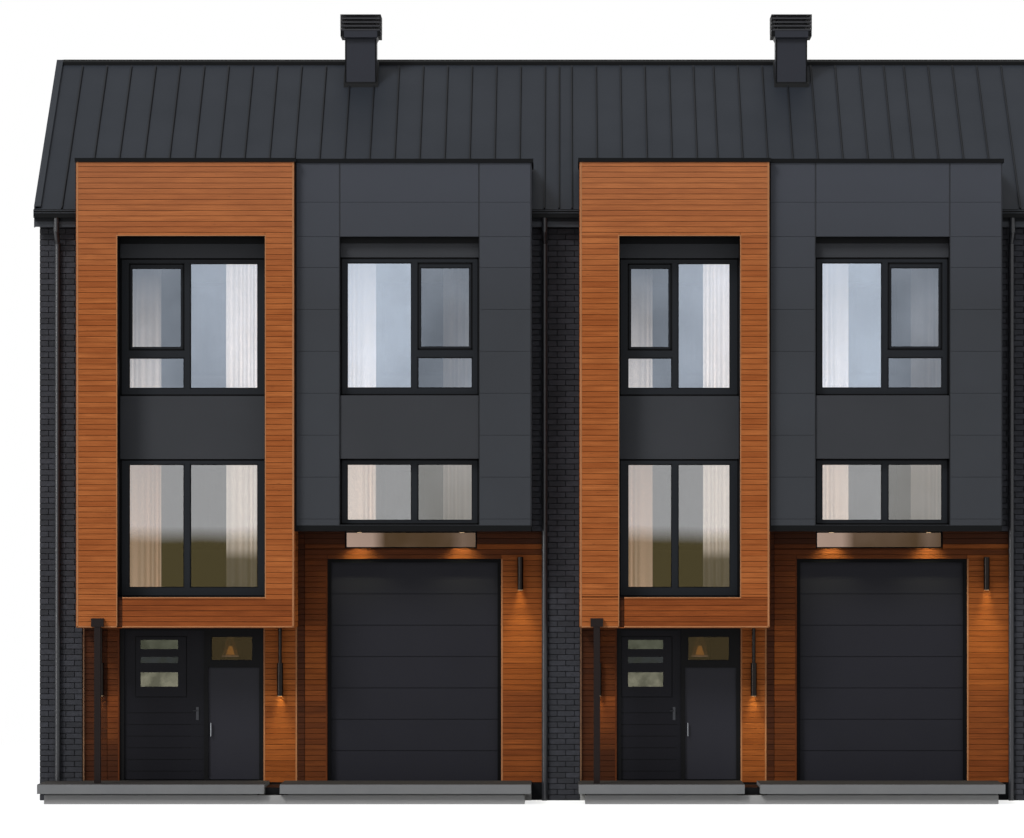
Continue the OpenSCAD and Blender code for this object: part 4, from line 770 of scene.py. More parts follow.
class TERRACE_OT_bricks(bpy.types.Operator):
    """Lay the bricks of the front piers, the end walls and the rear walls"""
    bl_idname = "terrace.bricks"
    bl_label = "Lay the Bricks"

    def execute(self, context):
        look = context.scene.terrace.bricks
        materials = [facing_brick(look), bpy.data.materials["mortar_and_inner_plaster"]]
        rng = random.Random(11)

        def wall(name, place, width, height, cuts=(), holes=()):
            part = running_bond(width, height, look.brick_length, look.course)
            for point, normal in cuts:
                cut_away(part, point, normal)
            for hole in holes:
                cut_hole(part, *hole)
            raise_cells(part, look.joint, ARRIS, look.relief, rng)
            bm = bmesh.new()
            put(bm, part, place)
            finish_piece(bm, name, "root", materials)

        # The piers end under the deck, and the ground floor's timber passes in front of their left sides
        deck_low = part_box("front_roof_deck")[0]
        slope = 0.7
        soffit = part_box("grey_bay_a")[0].z - SOFFIT_H
        timber = [high.x for low, high in solids("ground_timber_piers")]
        for index, (low, high) in enumerate(solids("front_brick_piers")):
            past = [x - low.x for x in timber if low.x + 0.05 < x < high.x - 0.05]
            wall(f"front_bricks_{index + 1}", on_wall(Vector((low.x, low.y, 0)), RIGHT, UP),
                 high.x - low.x, deck_low.z + (low.y - deck_low.y) * slope,
                 holes=[(-1, past[0], -1, soffit)] if past else [])

        # The end walls are gables
        deck_low, deck_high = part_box("rear_roof_deck")
        rise = (deck_high.z - deck_low.z - DECK_H) / (deck_high.y - deck_low.y)
        lean = Vector((1, 1 / rise, 0)).normalized().x
        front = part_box("front_brick_piers")[0].y
        for side, along in (("left", -1), ("right", 1)):
            low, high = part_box(f"{side}_end_wall")
            start = Vector((low.x, high.y, 0)) if along < 0 else Vector((high.x, front, 0))
            peak = Vector((abs(deck_low.y - start.y), high.z, 0))
            wall(f"{side}_end_bricks", on_wall(start, BACK * along, UP), high.y - front, high.z,
                 cuts=((peak, (lean * rise, lean, 0)), (peak, (-lean * rise, lean, 0))))

        windows = solids("rear_window_frames")
        for house in HOUSES:
            low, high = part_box(f"rear_wall_{house}")
            holes = [(high.x - w_high.x, high.x - w_low.x, w_low.z, w_high.z)
                     for w_low, w_high in windows if low.x < w_low.x < high.x]
            wall(f"rear_bricks_{house}", on_wall(Vector((high.x, high.y, 0)), -RIGHT, UP),
                 high.x - low.x, high.z, holes=holes)
        return {"FINISHED"}


class TERRACE_OT_boards(bpy.types.Operator):
    """Fix the larch boards of the timber bays and the ground floor"""
    bl_idname = "terrace.boards"
    bl_label = "Fix the Boards"

    def execute(self, context):
        look = context.scene.terrace.boards
        wood = {key: larch(*finish) for key, finish in LARCHES.items()}
        wood["felt"] = bpy.data.materials["dark_breather_membrane"]
        # The highest boards fade paler upwards, and those behind the post are painted into shade below the lamp
        fade_by_height(wood["open"], 8.4, 10.8, "#BC8765", 0.22)
        fade_by_height(wood["post_shade"], 1.65, 0.75, "#2A1206", 0.85)
        rng = random.Random(23)
        proud = 0.004
        wide = look.trim
        thin = wide * 0.7

        # Lays boards on a wall, and picks the wood of each by its place
        def clad(bm, woods, place, width, height, holes=(), pick=None):
            part = course_boards(width, height, look.pitch)
            for hole in holes:
                cut_hole(part, *hole)
            raise_cells(part, look.gap, ARRIS, look.thickness, rng)
            for face in part.faces:
                if pick and face.material_index == 0:
                    face.material_index = woods.index(pick(place @ face.calc_center_median()))
            put(bm, part, place)

        # The grain of the trims runs up their length
        def finish_trims(bm, name, woods):
            bm.faces.layers.float.new("tone")
            surface = bm.loops.layers.uv.new("surface")
            for loop in (loop for face in bm.faces for loop in face.loops):
                loop[surface].uv = (loop.vert.co.z, loop.vert.co.x)
            finish_piece(bm, name, "root", [wood[key] for key in woods])

        brick_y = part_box("front_brick_piers")[0].y
        pier_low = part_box("ground_timber_piers")[0]
        front = pier_low.y
        foot = pier_low.z
        for house in HOUSES:
            low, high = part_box(f"timber_bay_{house}")
            grey_low, grey_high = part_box(f"grey_bay_{house}")
            soffit = grey_low.z - SOFFIT_H
            hole_low, hole_high = opening(low, high)
            x0 = hole_low.x
            x1 = hole_high.x
            sill = hole_low.z
            top = hole_high.z
            slot = x0 + 0.082
            bm = bmesh.new()
            clad(bm, BAY_WOODS, on_wall(low, RIGHT, UP), high.x - low.x, high.z - low.z,
                 holes=((x0 - low.x, x1 - low.x, sill - low.z, top - low.z),
                        (x0 - low.x, slot - low.x, -1, sill - low.z + 0.01)),
                 pick=lambda at: "dark_apron" if at.x > slot and at.z < sill else "open")
            # A board painted in deep shade closes the slot a little way in
            clad(bm, BAY_WOODS, on_wall(Vector((x0, low.y + 0.05, low.z)), RIGHT, UP), slot - x0,
                 sill - low.z, pick=lambda at: "deep_shade")
            # The left side runs back to the brickwork and, over the eaves, to the roof
            clad(bm, BAY_WOODS, on_wall(Vector((low.x, brick_y, low.z)), -BACK, UP), brick_y - low.y,
                 high.z - low.z)
            # The right side shows below the grey bay and in front of it, where it is painted in deep shade
            clad(bm, BAY_WOODS, on_wall(Vector((high.x, low.y, low.z)), BACK, UP), brick_y + 0.1 - low.y,
                 soffit - low.z)
            clad(bm, BAY_WOODS, on_wall(Vector((high.x, low.y, soffit)), BACK, UP), grey_low.y - low.y,
                 high.z - soffit, pick=lambda at: "deep_shade")
            # The soffit over the entrance
            clad(bm, BAY_WOODS, on_wall(Vector((low.x, brick_y + 0.1, low.z)), RIGHT, -BACK),
                 high.x - low.x, brick_y + 0.1 - low.y)
            finish_piece(bm, f"bay_boards_{house}", "root", [wood[key] for key in BAY_WOODS])

            # Pale trims cover the board ends at the corners and beside the opening
            bm = bmesh.new()
            for a, b, z0, z1 in ((low.x - proud, low.x + wide, low.z, high.z),
                                 (high.x - wide, high.x + proud, low.z, high.z),
                                 (x0 - thin, x0, low.z, top), (x1, x1 + thin, sill, top),
                                 (x0 - thin, x1 + thin, top, top + thin),
                                 (slot, x1 + thin, sill - thin, sill),
                                 (low.x, x0, low.z - proud, low.z + thin),
                                 (slot, high.x, low.z - proud, low.z + thin)):
                soft_block(bm, (a, low.y - look.thickness - proud, z0), (b, low.y, z1), 0.003)
            finish_trims(bm, f"bay_trims_{house}", TRIM_WOODS[:1])

            # Ground floor: beside the entrance, and round the garage with its glass strip
            frame_low, frame_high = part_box(f"entrance_frame_{house}")
            garages = [box for box in solids("garage_frames") if grey_low.x < box[0].x < grey_high.x]
            door = min(garages, key=lambda box: box[0].z)
            strip = max(garages, key=lambda box: box[0].z)
            post = min(solids("entrance_posts"), key=lambda box: abs(box[0].x - low.x))
            behind = (post[0].x + post[1].x) / 2 + 0.06

            # Painted light and shade: rows that a lamp would light take lit woods, and the rest the bay's
            # painted shade
            def entrance_board(at):
                if at.x > frame_low.x:
                    return "painted_warm_light" if at.z > foot + 1.3 else "lit"
                if at.x < behind:
                    return "deep_shade"
                return "post_shade" if at.z < foot + 1.5 else "shaded"

            # Painted light: the boards at shoulder height are painted lit, as by the light of the lane
            def garage_board(at):
                from_shoulder = abs(at.z - foot - 2.0)
                if at.z > strip[0].z + 0.04:
                    return "deep_shade"
                if at.x > door[1].x:
                    return "lit" if at.z > foot + 1.55 else "half_lit"
                if at.x > door[0].x or from_shoulder > 0.62:
                    return "shaded"
                return "lit" if from_shoulder < 0.36 else "half_lit"

            # Lays the boards from one side to another round openings given by their sides, feet and heads
            def clad_ground(x_from, x_to, z_to, pick, *openings):
                holes = [(a - x_from, b - x_from, z0 - foot, z1 - foot) for a, b, z0, z1 in openings]
                clad(bm, GROUND_WOODS, on_wall(Vector((x_from, front, foot)), RIGHT, UP), x_to - x_from,
                     z_to - foot, holes, pick)

            bm = bmesh.new()
            clad_ground(low.x, behind, low.z, entrance_board)
            clad_ground(behind, high.x, low.z, entrance_board,
                        (frame_low.x, frame_high.x, foot - 1, low.z + 1))
            # The boards next to the entrance are painted in its shade
            nook = high.x + 0.13
            end = max(box[1].x for box in solids("ground_timber_piers") if box[0].x < grey_high.x)
            clad_ground(high.x, nook, soffit, lambda at: "deep_shade")
            clad_ground(nook, end, soffit, garage_board, (door[0].x, door[1].x, foot - 1, door[1].z),
                        (strip[0].x, strip[1].x, strip[0].z, soffit + 1))
            finish_piece(bm, f"ground_boards_{house}", "root",
                         [wood[key] for key in GROUND_WOODS])

            # Upright trims end the boards beside the entrance and the garage; some are painted lit, some shaded
            bm = bmesh.new()
            for a, b, z1, kind in ((low.x, low.x + wide, low.z, "painted_lit_trim"),
                                   (frame_low.x - wide, frame_low.x, low.z, "shaded"),
                                   (frame_high.x, frame_high.x + wide, low.z, "trim"),
                                   (high.x - wide, high.x, low.z, "trim"),
                                   (door[0].x - wide, door[0].x, door[1].z, "shaded"),
                                   (door[1].x, door[1].x + wide, door[1].z, "trim")):
                soft_block(bm, (a, front - look.thickness - proud, foot), (b, front, z1), 0.003,
                           kind=TRIM_WOODS.index(kind))
            finish_trims(bm, f"ground_trims_{house}", TRIM_WOODS)
        return {"FINISHED"}


class TERRACE_OT_panels(bpy.types.Operator):
    """Hang the grey cladding panels and the black linings of the openings"""
    bl_idname = "terrace.panels"
    bl_label = "Hang the Panels"

    def execute(self, context):
        look = context.scene.terrace.panels
        grey = coated_sheet("satin_cladding_panel", "#35383D", "#2D2F33", 0.45, 0.58, 0.22, use_tone=True)
        # Painted light: the panels are painted paler towards the top
        fade_by_height(grey, 8.2, 10.4, "#41444D", 0.5)
        lining = coated_sheet("black_reveal_lining", "#08090B", "#060708", 0.45, 0.6, 0.1)
        felt = bpy.data.materials["dark_breather_membrane"]
        rng = random.Random(31)

        # Hangs a column of panels: the upright joints are open, and the level ones are lapped and fine
        def hang(bm, place, left, right, rows):
            part = bmesh.new()
            lattice(part, [left + look.joint / 2, right - look.joint / 2], rows)
            raise_cells(part, look.lap, 0.001, look.thickness, rng)
            put(bm, part, place)

        brick_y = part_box("front_brick_piers")[0].y
        for house in HOUSES:
            low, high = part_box(f"grey_bay_{house}")
            timber_low, timber_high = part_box(f"timber_bay_{house}")
            hole_low, hole_high = opening(low, high)
            left = hole_low.x - low.x
            right = hole_high.x - low.x
            height = high.z - low.z
            head = hole_high.z - low.z
            rows = [0.115 + step * look.storey for step in range(int((height - 0.2) / look.storey) + 1)]
            rows = [0.0, *(row for row in rows if row < head - 0.3), head, head + 0.575, height]
            place = on_wall(low, RIGHT, UP)
            bm = bmesh.new()
            hang(bm, place, 0.0, left, rows)
            hang(bm, place, right, high.x - low.x, rows)
            hang(bm, place, left, right, rows[-3:])
            hang(bm, on_wall(Vector((high.x, low.y, low.z)), BACK, UP), 0.0, brick_y - low.y, rows)
            finish_piece(bm, f"grey_panels_{house}", "root", [grey, felt])

            # Folded black sheet lines the sides and the head of every opening
            fold = 0.006
            for kind, bay in (("timber", (timber_low, timber_high)), ("grey", (low, high))):
                (x0, frame_y, z0), (x1, frame_y, z1) = opening(*bay)
                y0 = bay[0].y - fold
                y1 = frame_y - 0.001
                bm = bmesh.new()
                for corner_a, corner_b in (((x0, y0, z0), (x0 + fold, y1, z1)),
                                           ((x1 - fold, y0, z0), (x1, y1, z1)),
                                           ((x0, y0, z1 - fold), (x1, y1, z1)),
                                           ((x0, y0, z0), (x1, y1, z0 + fold))):
                    soft_block(bm, corner_a, corner_b, 0.001, 1)
                # Painted shadow: a black block lies over the top of the head panel, under the head
                block(bm, (x0, y1 - 0.05, z1 - 0.1), (x1, y1, z1 - fold))
                finish_piece(bm, f"{kind}_opening_lining_{house}", "root", [lining])

            # Black profiles end the panels beside the timber bay and over the soffit, where they also paint the
            # shade; a black strip paints the shade at the left edge of the timber bay
            bm = bmesh.new()
            face = low.y - 0.012
            wide = 0.038
            block(bm, (low.x, face, low.z - SOFFIT_H), (low.x + wide, low.y, high.z))
            block(bm, (low.x + wide, face, low.z - SOFFIT_H), (high.x, low.y + 0.012, low.z + 0.008))
            block(bm, (timber_low.x - 0.024, timber_low.y + 0.01, timber_low.z),
                  (timber_low.x - 0.001, timber_low.y + 0.03, timber_high.z))
            finish_piece(bm, f"bay_profiles_and_shade_{house}", "root", [lining])
        return {"FINISHED"}


class TERRACE_OT_curtains(bpy.types.Operator):
    """Hang the gathered curtains"""
    bl_idname = "terrace.curtains"
    bl_label = "Hang the Curtains"

    def execute(self, context):
        look = context.scene.terrace.curtains
        material = bpy.data.materials["white_woven_voile"]
        rng = random.Random(47)
        frames = solids("bay_window_frames")
        # Only the wide panes are over 1.9 m high, and the frames of the timber bays are set further back
        wide_panes = [box for box in solids("bay_window_glass") if box[1].z - box[0].z > 1.9]
        timber_y = -3.4
        for index, (low, high) in enumerate(solids("curtains")):
            width = high.x - low.x
            height = high.z - low.z
            middle_x = (low.x + high.x) / 2
            middle_y = (low.y + high.y) / 2
            own = min(frames, key=lambda box: abs(box[0].x + box[1].x - low.x - high.x)
                      + abs(box[1].z - high.z) * 3)
            left = low.x + high.x < own[0].x + own[1].x
            storey = "upper" if own[0].z > UPPER_Z else "lower"
            bay = "timber" if own[0].y > timber_y else "grey"
            first = left
            if storey == "upper":
                first = any(pane[0].x - 0.3 < middle_x < pane[1].x + 0.3 and pane[0].z > UPPER_Z
                            for pane in wide_panes)
            glow_low, glow_high = PAINTED_DAYLIGHT[storey, bay][0 if first else 1]
            # Painted warm light on the curtains at the left downstairs
            painted_warmth = {"timber": 0.75, "grey": 0.4}[bay] if left and storey == "lower" else 0.0

            folds = max(3, round(width / look.fold_width))
            steps = folds * 10
            depths = [rng.uniform(0.7, 1.0) * look.fold_depth / 2 for _ in range(folds + 1)]
            shifts = [rng.uniform(-0.2, 0.2) for _ in range(folds + 1)]
            bend = rng.uniform(0, 6)

            def at(along, up):
                fold = along * folds + 0.35 * math.sin(4.4 * along + bend)
                which = max(0, min(folds, int(fold)))
                ease = max(0.0, min(1.0, fold - which))
                depth = depths[which] * (1 - ease) + depths[min(folds, which + 1)] * ease
                depth *= 0.75 + 0.25 * (1 - up)
                wave = math.sin(2 * math.pi * fold + shifts[which] * math.sin(math.pi * ease) * 2)
                return Vector((low.x + width * along, middle_y + depth * wave, low.z + height * up))

            waist = [at(step / steps, 0.5) for step in range(steps + 1)]
            girth = sum((b - a).length for a, b in zip(waist, waist[1:]))
            bm = bmesh.new()
            lattice(bm, [step / steps for step in range(steps + 1)], [row / 16 for row in range(17)])
            surface = bm.loops.layers.uv.new("surface")
            for loop in (loop for face in bm.faces for loop in face.loops):
                loop[surface].uv = (loop.vert.co.x * girth, loop.vert.co.y * height)
            painted_daylight = bm.verts.layers.float.new("painted_daylight")
            painted_warm_light = bm.verts.layers.float.new("painted_warm_light")
            for vert in bm.verts:
                up = (low.z + vert.co.y * height - own[0].z) / (own[1].z - own[0].z)
                up = max(0.0, min(1.0, up))
                glow = glow_low * (1 - up) + glow_high * up
                vert[painted_daylight] = max(0.2, min(1.9, glow)) if glow_low < 0 else max(0.0, glow)
                vert[painted_warm_light] = painted_warmth
                vert.co = at(vert.co.x, vert.co.y)
            piece = finish_piece(bm, f"curtain_{index + 1}", "root", [material], smooth=True)
            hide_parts("curtains")
        return {"FINISHED"}


class TERRACE_OT_panes(bpy.types.Operator):
    """Glaze the bay windows, each pane painted with the tone of what it would mirror"""
    bl_idname = "terrace.panes"
    bl_label = "Glaze the Windows"

    def execute(self, context):
        panes = solids("bay_window_glass")
        sashes = solids("opening_sashes")
        frames = solids("bay_window_frames")
        grey_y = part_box("bay_window_glass")[0].y

        # The tone of painted reflection at the foot and the head of a pane
        def tones(low, high):
            centre = (low + high) / 2
            timber = low.y > grey_y + 0.05
            if any(s[0].x < centre.x < s[1].x and s[0].z < centre.z < s[1].z for s in sashes):
                return 0.36, 0.42
            if high.z - low.z < 0.6:
                return (0.44, 0.42) if timber else (0.4, 0.38)
            if low.z > UPPER_Z - 0.2:
                return (0.68, 0.8) if timber else (0.93, 0.97)
            if timber:
                return -2.55, 4.55
            at_edge = any(abs(low.x - frame[0].x) < 0.3 for frame in frames)
            return (0.95, 1.0) if at_edge else (0.6, 0.7)

        bm = bmesh.new()
        tone = bm.verts.layers.float.new("tone")
        # A box with bevelled edges has three points at each of its eight corners
        corners = 24
        for low, high in panes:
            at_foot, at_head = tones(low, high)
            soft_block(bm, low, high, 0.001, 1)
            bm.verts.ensure_lookup_table()
            for vert in bm.verts[-corners:]:
                up = (vert.co.z - low.z) / (high.z - low.z)
                vert[tone] = at_foot * (1 - up) + at_head * up
        piece = finish_piece(bm, "window_panes", "root", [bpy.data.materials["sun_control_glazing"]])
        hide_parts("bay_window_glass")

        # Black rubber seals each pane in its frame and each sash in its rebate; round each frame a black band
        # is a seal and a painted shadow line
        bm = bmesh.new()
        for boxes, width, before, after in ((panes, 0.007, 0.012, -0.001), (sashes, 0.02, 0.003, 0.004),
                                            (frames, 0.03, 0.003, 0.004)):
            for low, high in boxes:
                for a, b in (((low.x, low.z), (high.x, low.z + width)),
                             ((low.x, high.z - width), (high.x, high.z)),
                             ((low.x, low.z), (low.x + width, high.z)),
                             ((high.x - width, low.z), (high.x, high.z))):
                    block(bm, (a[0], low.y - before, a[1]), (b[0], low.y + after, b[1]))
        rubber = small_finish("black_rubber_gasket", "#050506", "#08080A", 0.8)
        finish_piece(bm, "window_gaskets", "root", [rubber])

        # The strips over the garages and the lights over the narrow leaves, with painted reflections along
        # their width
        bm = bmesh.new()
        tone = bm.verts.layers.float.new("tone")
        for low, high in solids("ground_floor_glass"):
            wide = high.x - low.x
            is_strip = wide > 1.5
            places = ((0.0, 0.0), (1.0, 0.0))
            if is_strip:
                places = ((0.0, 0.95), (0.2, 0.85), (0.3, 0.14), (0.8, 0.1), (0.9, 0.3), (1.0, 0.2))
            part = bmesh.new()
            lattice(part, [at * wide for at, value in places], [0.0, high.z - low.z])
            recolour(part.verts, 1 if is_strip else 0)
            layer = part.verts.layers.float.new("tone")
            for vert in part.verts:
                vert[layer] = next(value for at, value in places if abs(at * wide - vert.co.x) < 0.001)
            thicken(part, low.y - high.y)
            put(bm, part, on_wall(low, RIGHT, UP))
        glazing = [bpy.data.materials[name] for name in ("bronze_glazing", "bronze_strip_glazing")]
        piece = finish_piece(bm, "low_panes", "root", glazing)
        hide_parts("ground_floor_glass")
        return {"FINISHED"}


class TERRACE_OT_small_parts(bpy.types.Operator):
    """Fix the painted seam shadows, flashings, beads, seals, plinths and the hall bulbs"""
    bl_idname = "terrace.small_parts"
    bl_label = "Fix the Small Parts"

    def execute(self, context):
        black = small_finish("black_butyl_seal", "#060709", "#0A0B0D", 0.7)
        grey = small_finish("grey_coated_profile", "#3A3D42", "#33363B", 0.5, 0.2)
        eave_y, eave_z, rise = front_eave()

        # Painted shadow: black strips lie along every standing seam
        crests = {}
        for vert in NODES["front_roof_sheet"].data.vertices:
            over = vert.co.z - eave_z - (vert.co.y - eave_y) * rise
            if over > 0.03:
                crests.setdefault(round(vert.co.x, 3), []).append(vert.co.y)
        places = sorted(crests)
        bm = bmesh.new()
        for a, b in zip(places, places[1:]):
            if 0.01 < b - a < 0.03:
                first = min(crests[a] + crests[b])
                last = max(crests[a] + crests[b])
                origin = Vector((a, first, eave_z + (first - eave_y) * rise + 0.0108))
                part = bmesh.new()
                block(part, (b - a, 0, 0), (b - a + 0.01, (last - first) * math.hypot(1, rise), 0.003))
                put(bm, part, on_wall(origin, RIGHT, Vector((0, 1, rise)).normalized()))
        finish_piece(bm, "seam_shadow_strips", "root", [black])

        # Black corner laps on the shafts
        bm = bmesh.new()
        reach = 0.08
        for low, high in solids("chimneys"):
            face = low.y + reach
            foot = eave_z + (face - eave_y) * rise
            for a, b in ((low.x + reach - 0.003, low.x + reach + 0.022),
                         (high.x - reach - 0.022, high.x - reach + 0.003)):
                block(bm, (a, face - 0.003, foot), (b, face + 0.02, high.z - 0.14))
        # Corner posts hold the louvres of the caps, over side cheeks and plain aprons on the hoppers
        post = 0.014
        cheek = 0.062
        for low, high in solids("chimney_caps"):
            for x in (low.x, high.x - post):
                for y in (low.y, high.y - post):
                    block(bm, (x, y, low.z), (x + post, y + post, high.z - 0.03))
            for x in (low.x + 0.002, high.x - cheek):
                block(bm, (x, low.y + 0.004, low.z - 0.1), (x + 0.06, high.y - 0.004, low.z + 0.004))
            for y in (low.y + 0.005, high.y - 0.015):
                block(bm, (low.x + cheek, y, low.z - 0.12), (high.x - cheek, y + 0.01, low.z), kind=1)
        finish_piece(bm, "chimney_laps", "root",
                     [black, bpy.data.materials["folded_coated_steel"]])

        # Rolled beads on the front gutters, painted paler as highlights, and the fascia strip under them
        bm = bmesh.new()
        for low, high in solids("gutters"):
            if low.y < 0:
                for drop in (0.012, 0.055):
                    soft_block(bm, (low.x, low.y - 0.008, high.z - drop - 0.012),
                               (high.x, low.y + 0.002, high.z - drop), 0.003)
                block(bm, (low.x, eave_y - 0.005, eave_z - DECK_H),
                      (high.x, eave_y + 0.001, eave_z - DECK_H + 0.09))
        finish_piece(bm, "gutter_highlight_beads", "root", [grey])

        # Bitumen-painted plinths under the timber, and the kerb between two landings
        bm = bmesh.new()
        for low, high in solids("ground_slabs"):
            if low.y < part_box("party_wall")[0].y - 0.05:
                block(bm, (low.x, low.y - 0.006, 0), (high.x, low.y - 0.001, high.z))
        finish_piece(bm, "plinths", "root", [black])
        bm = bmesh.new()
        inset = 0.105
        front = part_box("landings")[0].y + inset
        for low, high in solids("landing_blocks"):
            soft_block(bm, (low.x - inset, front, 0), (high.x + inset, front + 0.19, 0.15), 0.004)
        finish_piece(bm, "landing_kerbs", "root", [bpy.data.materials["cast_concrete"]])

        # Painted shade: black strips round the raised window and along the grooves of the wide leaves
        line = 0.014
        wide = 0.845
        tall = 1.005
        for house in HOUSES:
            low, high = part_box(f"wide_leaf_{house}")
            glass_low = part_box(f"wide_leaf_glass_{house}")[0]
            face = low.y + 0.012
            x0 = glass_low.x - WINDOW_IN[house]
            z0 = glass_low.z - 0.167
            bm = bmesh.new()
            for a, b in (((-line, -line), (wide + line, 0)), ((-line, tall), (wide + line, tall + line)),
                         ((-line, 0), (0, tall)), ((wide, 0), (wide + line, tall))):
                block(bm, (x0 + a[0], face - 0.002, z0 + a[1]), (x0 + b[0], face + 0.001, z0 + b[1]))
            for step in range(6):
                z = low.z - 0.009 + 0.142 + step * 0.197
                block(bm, (x0 - 0.14, face - 0.001, z - 0.002), (x0 + 0.93, face + 0.001, z + 0.011))
            finish_piece(bm, f"leaf_shadow_lines_{house}", f"wide_door_{house}", [black])

        # A black holder, an amber bulb and pale glass rims with a painted glow in each hall lamp
        bulb = small_finish("amber_filament_bulb", "#D08A3A", "#B8752E", 0.4, 0.3, 1.6)
        glowing_rim = small_finish("glass_rim_painted_glow", "#C8A68E", "#B8967E", 0.3, 0.4, 0.9)
        bm = bmesh.new()
        for low, high in solids("pendant_lamps"):
            centre = (low + high) / 2
            for kind, z0, z1, r0, r1 in ((0, 0.17, 0.4, 0.024, 0.024), (1, 0.03, 0.18, 0.075, 0.03),
                                         (2, 0.0, 0.012, 0.149, 0.147), (2, 0.345, 0.36, 0.12, 0.12)):
                place = Matrix.Translation((centre.x, centre.y, low.z + (z0 + z1) / 2))
                recolour(bmesh.ops.create_cone(bm, cap_ends=True, segments=32, radius1=r0, radius2=r1,
                                               depth=z1 - z0, matrix=place)["verts"], kind)
        finish_piece(bm, "hall_bulbs", "root", [black, bulb, glowing_rim])
        return {"FINISHED"}


class TERRACE_OT_lamps(bpy.types.Operator):
    """Fit the lenses and the light of the lamps"""
    bl_idname = "terrace.lamps"
    bl_label = "Fit the Lamps"

    def execute(self, context):
        # Opal acrylic lens of the lamps, lit warm from behind, with frost drawn 17 mm wide
        opal = clouded_finish("opal_acrylic_lens", "#FFD9A8", "#FFE8C8", 60.0, {
            "Roughness": 0.4, "Emission Color": rgba("#FFD9A6"), "Emission Strength": 1.6})
        posts = [(low.x + high.x) / 2 for low, high in solids("entrance_posts")]
        bm = bmesh.new()
        # Each beam has its place, power in watts, angle, shadow and tilt
        beams = []
        for low, high in solids("lamps"):
            centre = (low + high) / 2
            radius = (high.x - low.x) / 2
            if high.z - low.z < 0.1:
                beams.append(((centre.x, centre.y, low.z - 0.02), 62.0, 1.9, True, 0.0))
                lens_y = centre.y
            else:
                # The lamps behind the posts are dimmer, and the low ones spill less on the wall
                share = 0.45 if any(abs(centre.x - x) < 0.4 for x in posts) else 1.0
                spill = 10.0 if low.z < 2.0 else 28.0
                beams.append(((centre.x, low.y + radius, low.z + 0.16), 40.0 * share, 0.75, False, 0.0))
                beams.append(((centre.x, low.y - 0.6, low.z + 0.1), spill * share, 0.8, False, 0.62))
                lens_y = low.y + radius
            place = Matrix.Translation((centre.x, lens_y, low.z - 0.002)) @ Matrix.Rotation(math.pi, 4, "X")
            bmesh.ops.create_circle(bm, cap_ends=True, segments=32, radius=radius * 0.8, matrix=place)
        thicken(bm, 0.002)
        finish_piece(bm, "lamp_lenses", "root", [opal])
        for index, (place, power, angle, shadow, tilt) in enumerate(beams):
            light = bpy.data.lights.new(f"glow_{index + 1}", "SPOT")
            light.energy = power
            light.color = linear("#FFFDC8")
            light.use_shadow = shadow
            light.spot_size = angle
            light.spot_blend = 1.0
            light.shadow_soft_size = 0.04
            set_in_scene(light.name, light, place, (tilt, 0, 0))
        return {"FINISHED"}


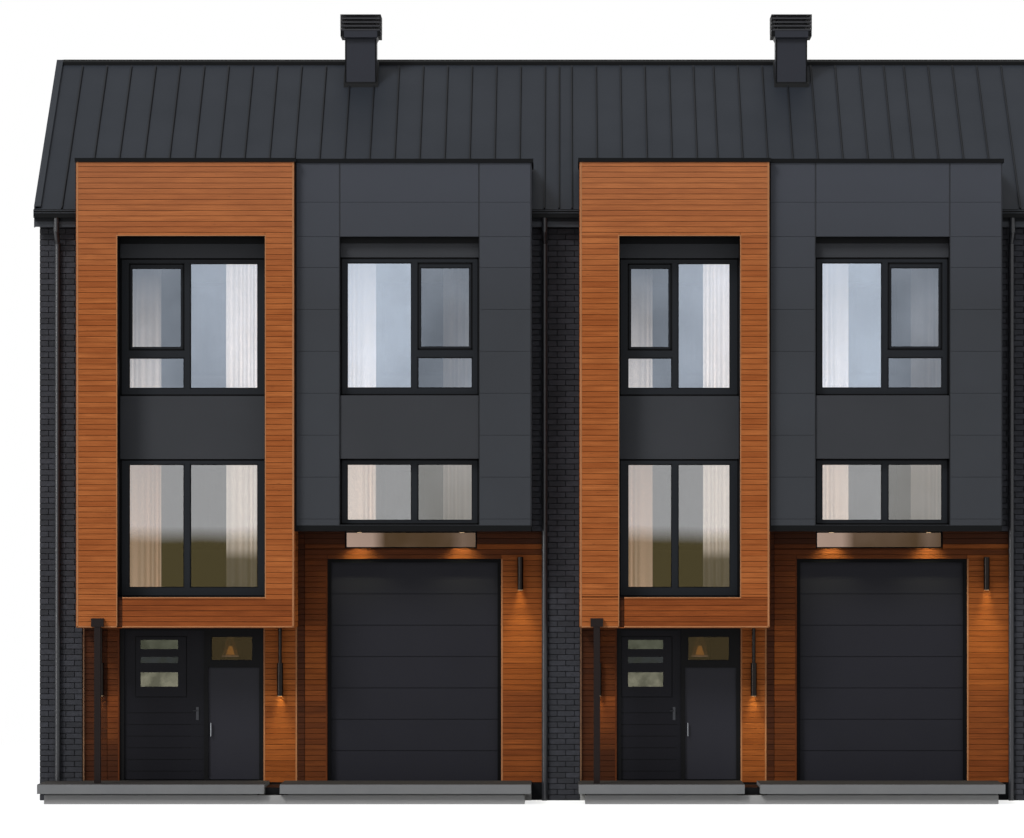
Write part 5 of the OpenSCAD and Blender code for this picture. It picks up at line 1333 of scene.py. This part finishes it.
class TERRACE_OT_stage(bpy.types.Operator):
    """Set the floor, the light and the camera"""
    bl_idname = "terrace.stage"
    bl_label = "Set the Stage"

    def execute(self, context):
        scene = context.scene
        scene.view_settings.view_transform = "Standard"
        white = rgba("#FFFFFF")
        bm = bmesh.new()
        bmesh.ops.create_grid(bm, x_segments=1, y_segments=1, size=400.0)
        mesh = bpy.data.meshes.new("floor")
        bm.to_mesh(mesh)
        bm.free()
        floor = set_in_scene("floor", mesh)
        material = bpy.data.materials.new("pale_studio_floor")
        tree = empty_tree(material)
        paint = add(tree, "ShaderNodeBsdfDiffuse", {"Color": rgba("#B4B4B4")})
        dim = add(tree, "ShaderNodeBsdfDiffuse", {"Color": rgba("#A0A0A0")})
        light = add(tree, "ShaderNodeEmission", {"Color": white, "Strength": 0.7})
        near = add(tree, "ShaderNodeAddShader", {0: dim, 1: light})
        # The floor fades into the white backdrop away from the row
        reach = add(tree, "ShaderNodeVectorMath", {
            0: add(tree, "ShaderNodeTexCoord").outputs["Object"]}, operation="LENGTH").outputs["Value"]
        fade = add(tree, "ShaderNodeMapRange", {"Value": reach, "From Min": 12.0, "From Max": 26.0},
                   interpolation_type="SMOOTHSTEP")
        far = add(tree, "ShaderNodeEmission", {"Color": white, "Strength": 1.0})
        seen = add(tree, "ShaderNodeMixShader", {0: fade, 1: near, 2: far})
        add(tree, "ShaderNodeOutputMaterial", {"Surface": add(tree, "ShaderNodeMixShader", {
            0: rays(tree, "Is Camera Ray", "Is Glossy Ray"), 1: paint, 2: seen})})
        mesh.materials.append(material)

        scene.world = bpy.data.worlds.new("studio")
        tree = empty_tree(scene.world)
        # The soft light is stronger from above, as under a high soft box
        facing = add(tree, "ShaderNodeTexCoord").outputs["Generated"]
        height = add(tree, "ShaderNodeSeparateXYZ", {"Vector": facing}).outputs["Z"]
        soft = add(tree, "ShaderNodeBackground", {
            "Color": rgba("#F2F5FA"), "Strength": add(tree, "ShaderNodeMapRange", {
                "Value": height, "From Min": -0.1, "From Max": 1.0, "To Min": 0.3, "To Max": 1.0})})
        backdrop = add(tree, "ShaderNodeBackground", {"Color": white, "Strength": 1.0})
        add(tree, "ShaderNodeOutputWorld", {"Surface": add(tree, "ShaderNodeMixShader", {
            0: rays(tree, "Is Camera Ray", "Is Glossy Ray", "Is Transmission Ray"), 1: soft, 2: backdrop})})

        key = bpy.data.lights.new("key", "SUN")
        key.energy = 2.2
        key.angle = math.radians(16)
        set_in_scene("key", key, turn=Vector((0.5, 0.62, -0.75)).to_track_quat("-Z", "Y").to_euler())

        # A tall soft box at the left gives pipes and lamps their highlight
        strip = bpy.data.lights.new("strip_box", "AREA")
        strip.shape = "RECTANGLE"
        strip.size = 8.0
        strip.size_y = 20.0
        strip.energy = 6000.0
        box = set_in_scene("strip_box", strip, (-38, -32, 6),
                           Vector((0.77, 0.64, 0)).to_track_quat("-Z", "Y").to_euler())
        box.visible_diffuse = False
        box.visible_camera = False
        box.visible_transmission = False

        lens = bpy.data.cameras.new("camera")
        lens.sensor_width = 36.0
        lens.lens = 168.75
        lens.shift_x = -0.0479
        lens.shift_y = 0.1426
        lens.clip_end = 1000.0
        scene.camera = set_in_scene("camera", lens, (0.3, -83.815, 3.967), (math.radians(90), 0, 0))
        return {"FINISHED"}


class TERRACE_PT_dresser(bpy.types.Panel):
    """Lists the steps that dress the row"""
    bl_label = "Terraced House Row"
    bl_idname = "TERRACE_PT_dresser"
    bl_space_type = "VIEW_3D"
    bl_region_type = "UI"
    bl_category = "Terrace"

    def draw(self, context):
        settings = context.scene.terrace
        for group in (settings.bricks, settings.boards, settings.panels, settings.curtains):
            box = self.layout.box()
            for name in group.__annotations__:
                box.prop(group, name)
        for step in STEPS:
            self.layout.operator(step.bl_idname)


STEPS = (
    TERRACE_OT_finishes, TERRACE_OT_bricks, TERRACE_OT_boards, TERRACE_OT_panels,
    TERRACE_OT_curtains, TERRACE_OT_panes, TERRACE_OT_small_parts, TERRACE_OT_lamps, TERRACE_OT_stage,
)
CLASSES = (
    BrickSettings, BoardSettings, PanelSettings, CurtainSettings, TerraceSettings,
    *STEPS, TERRACE_PT_dresser,
)


def register():
    """Registers the classes and the settings."""
    for kind in CLASSES:
        bpy.utils.register_class(kind)
    bpy.types.Scene.terrace = bpy.props.PointerProperty(type=TerraceSettings)


def unregister():
    """Takes the classes and the settings away."""
    del bpy.types.Scene.terrace
    for kind in reversed(CLASSES):
        bpy.utils.unregister_class(kind)


def main():
    """Dresses the row step by step."""
    register()
    for step in STEPS:
        group, name = step.bl_idname.split(".")
        if "FINISHED" not in getattr(getattr(bpy.ops, group), name)():
            raise RuntimeError(f"{step.bl_label} did not finish")


if __name__ == "__main__":
    main()
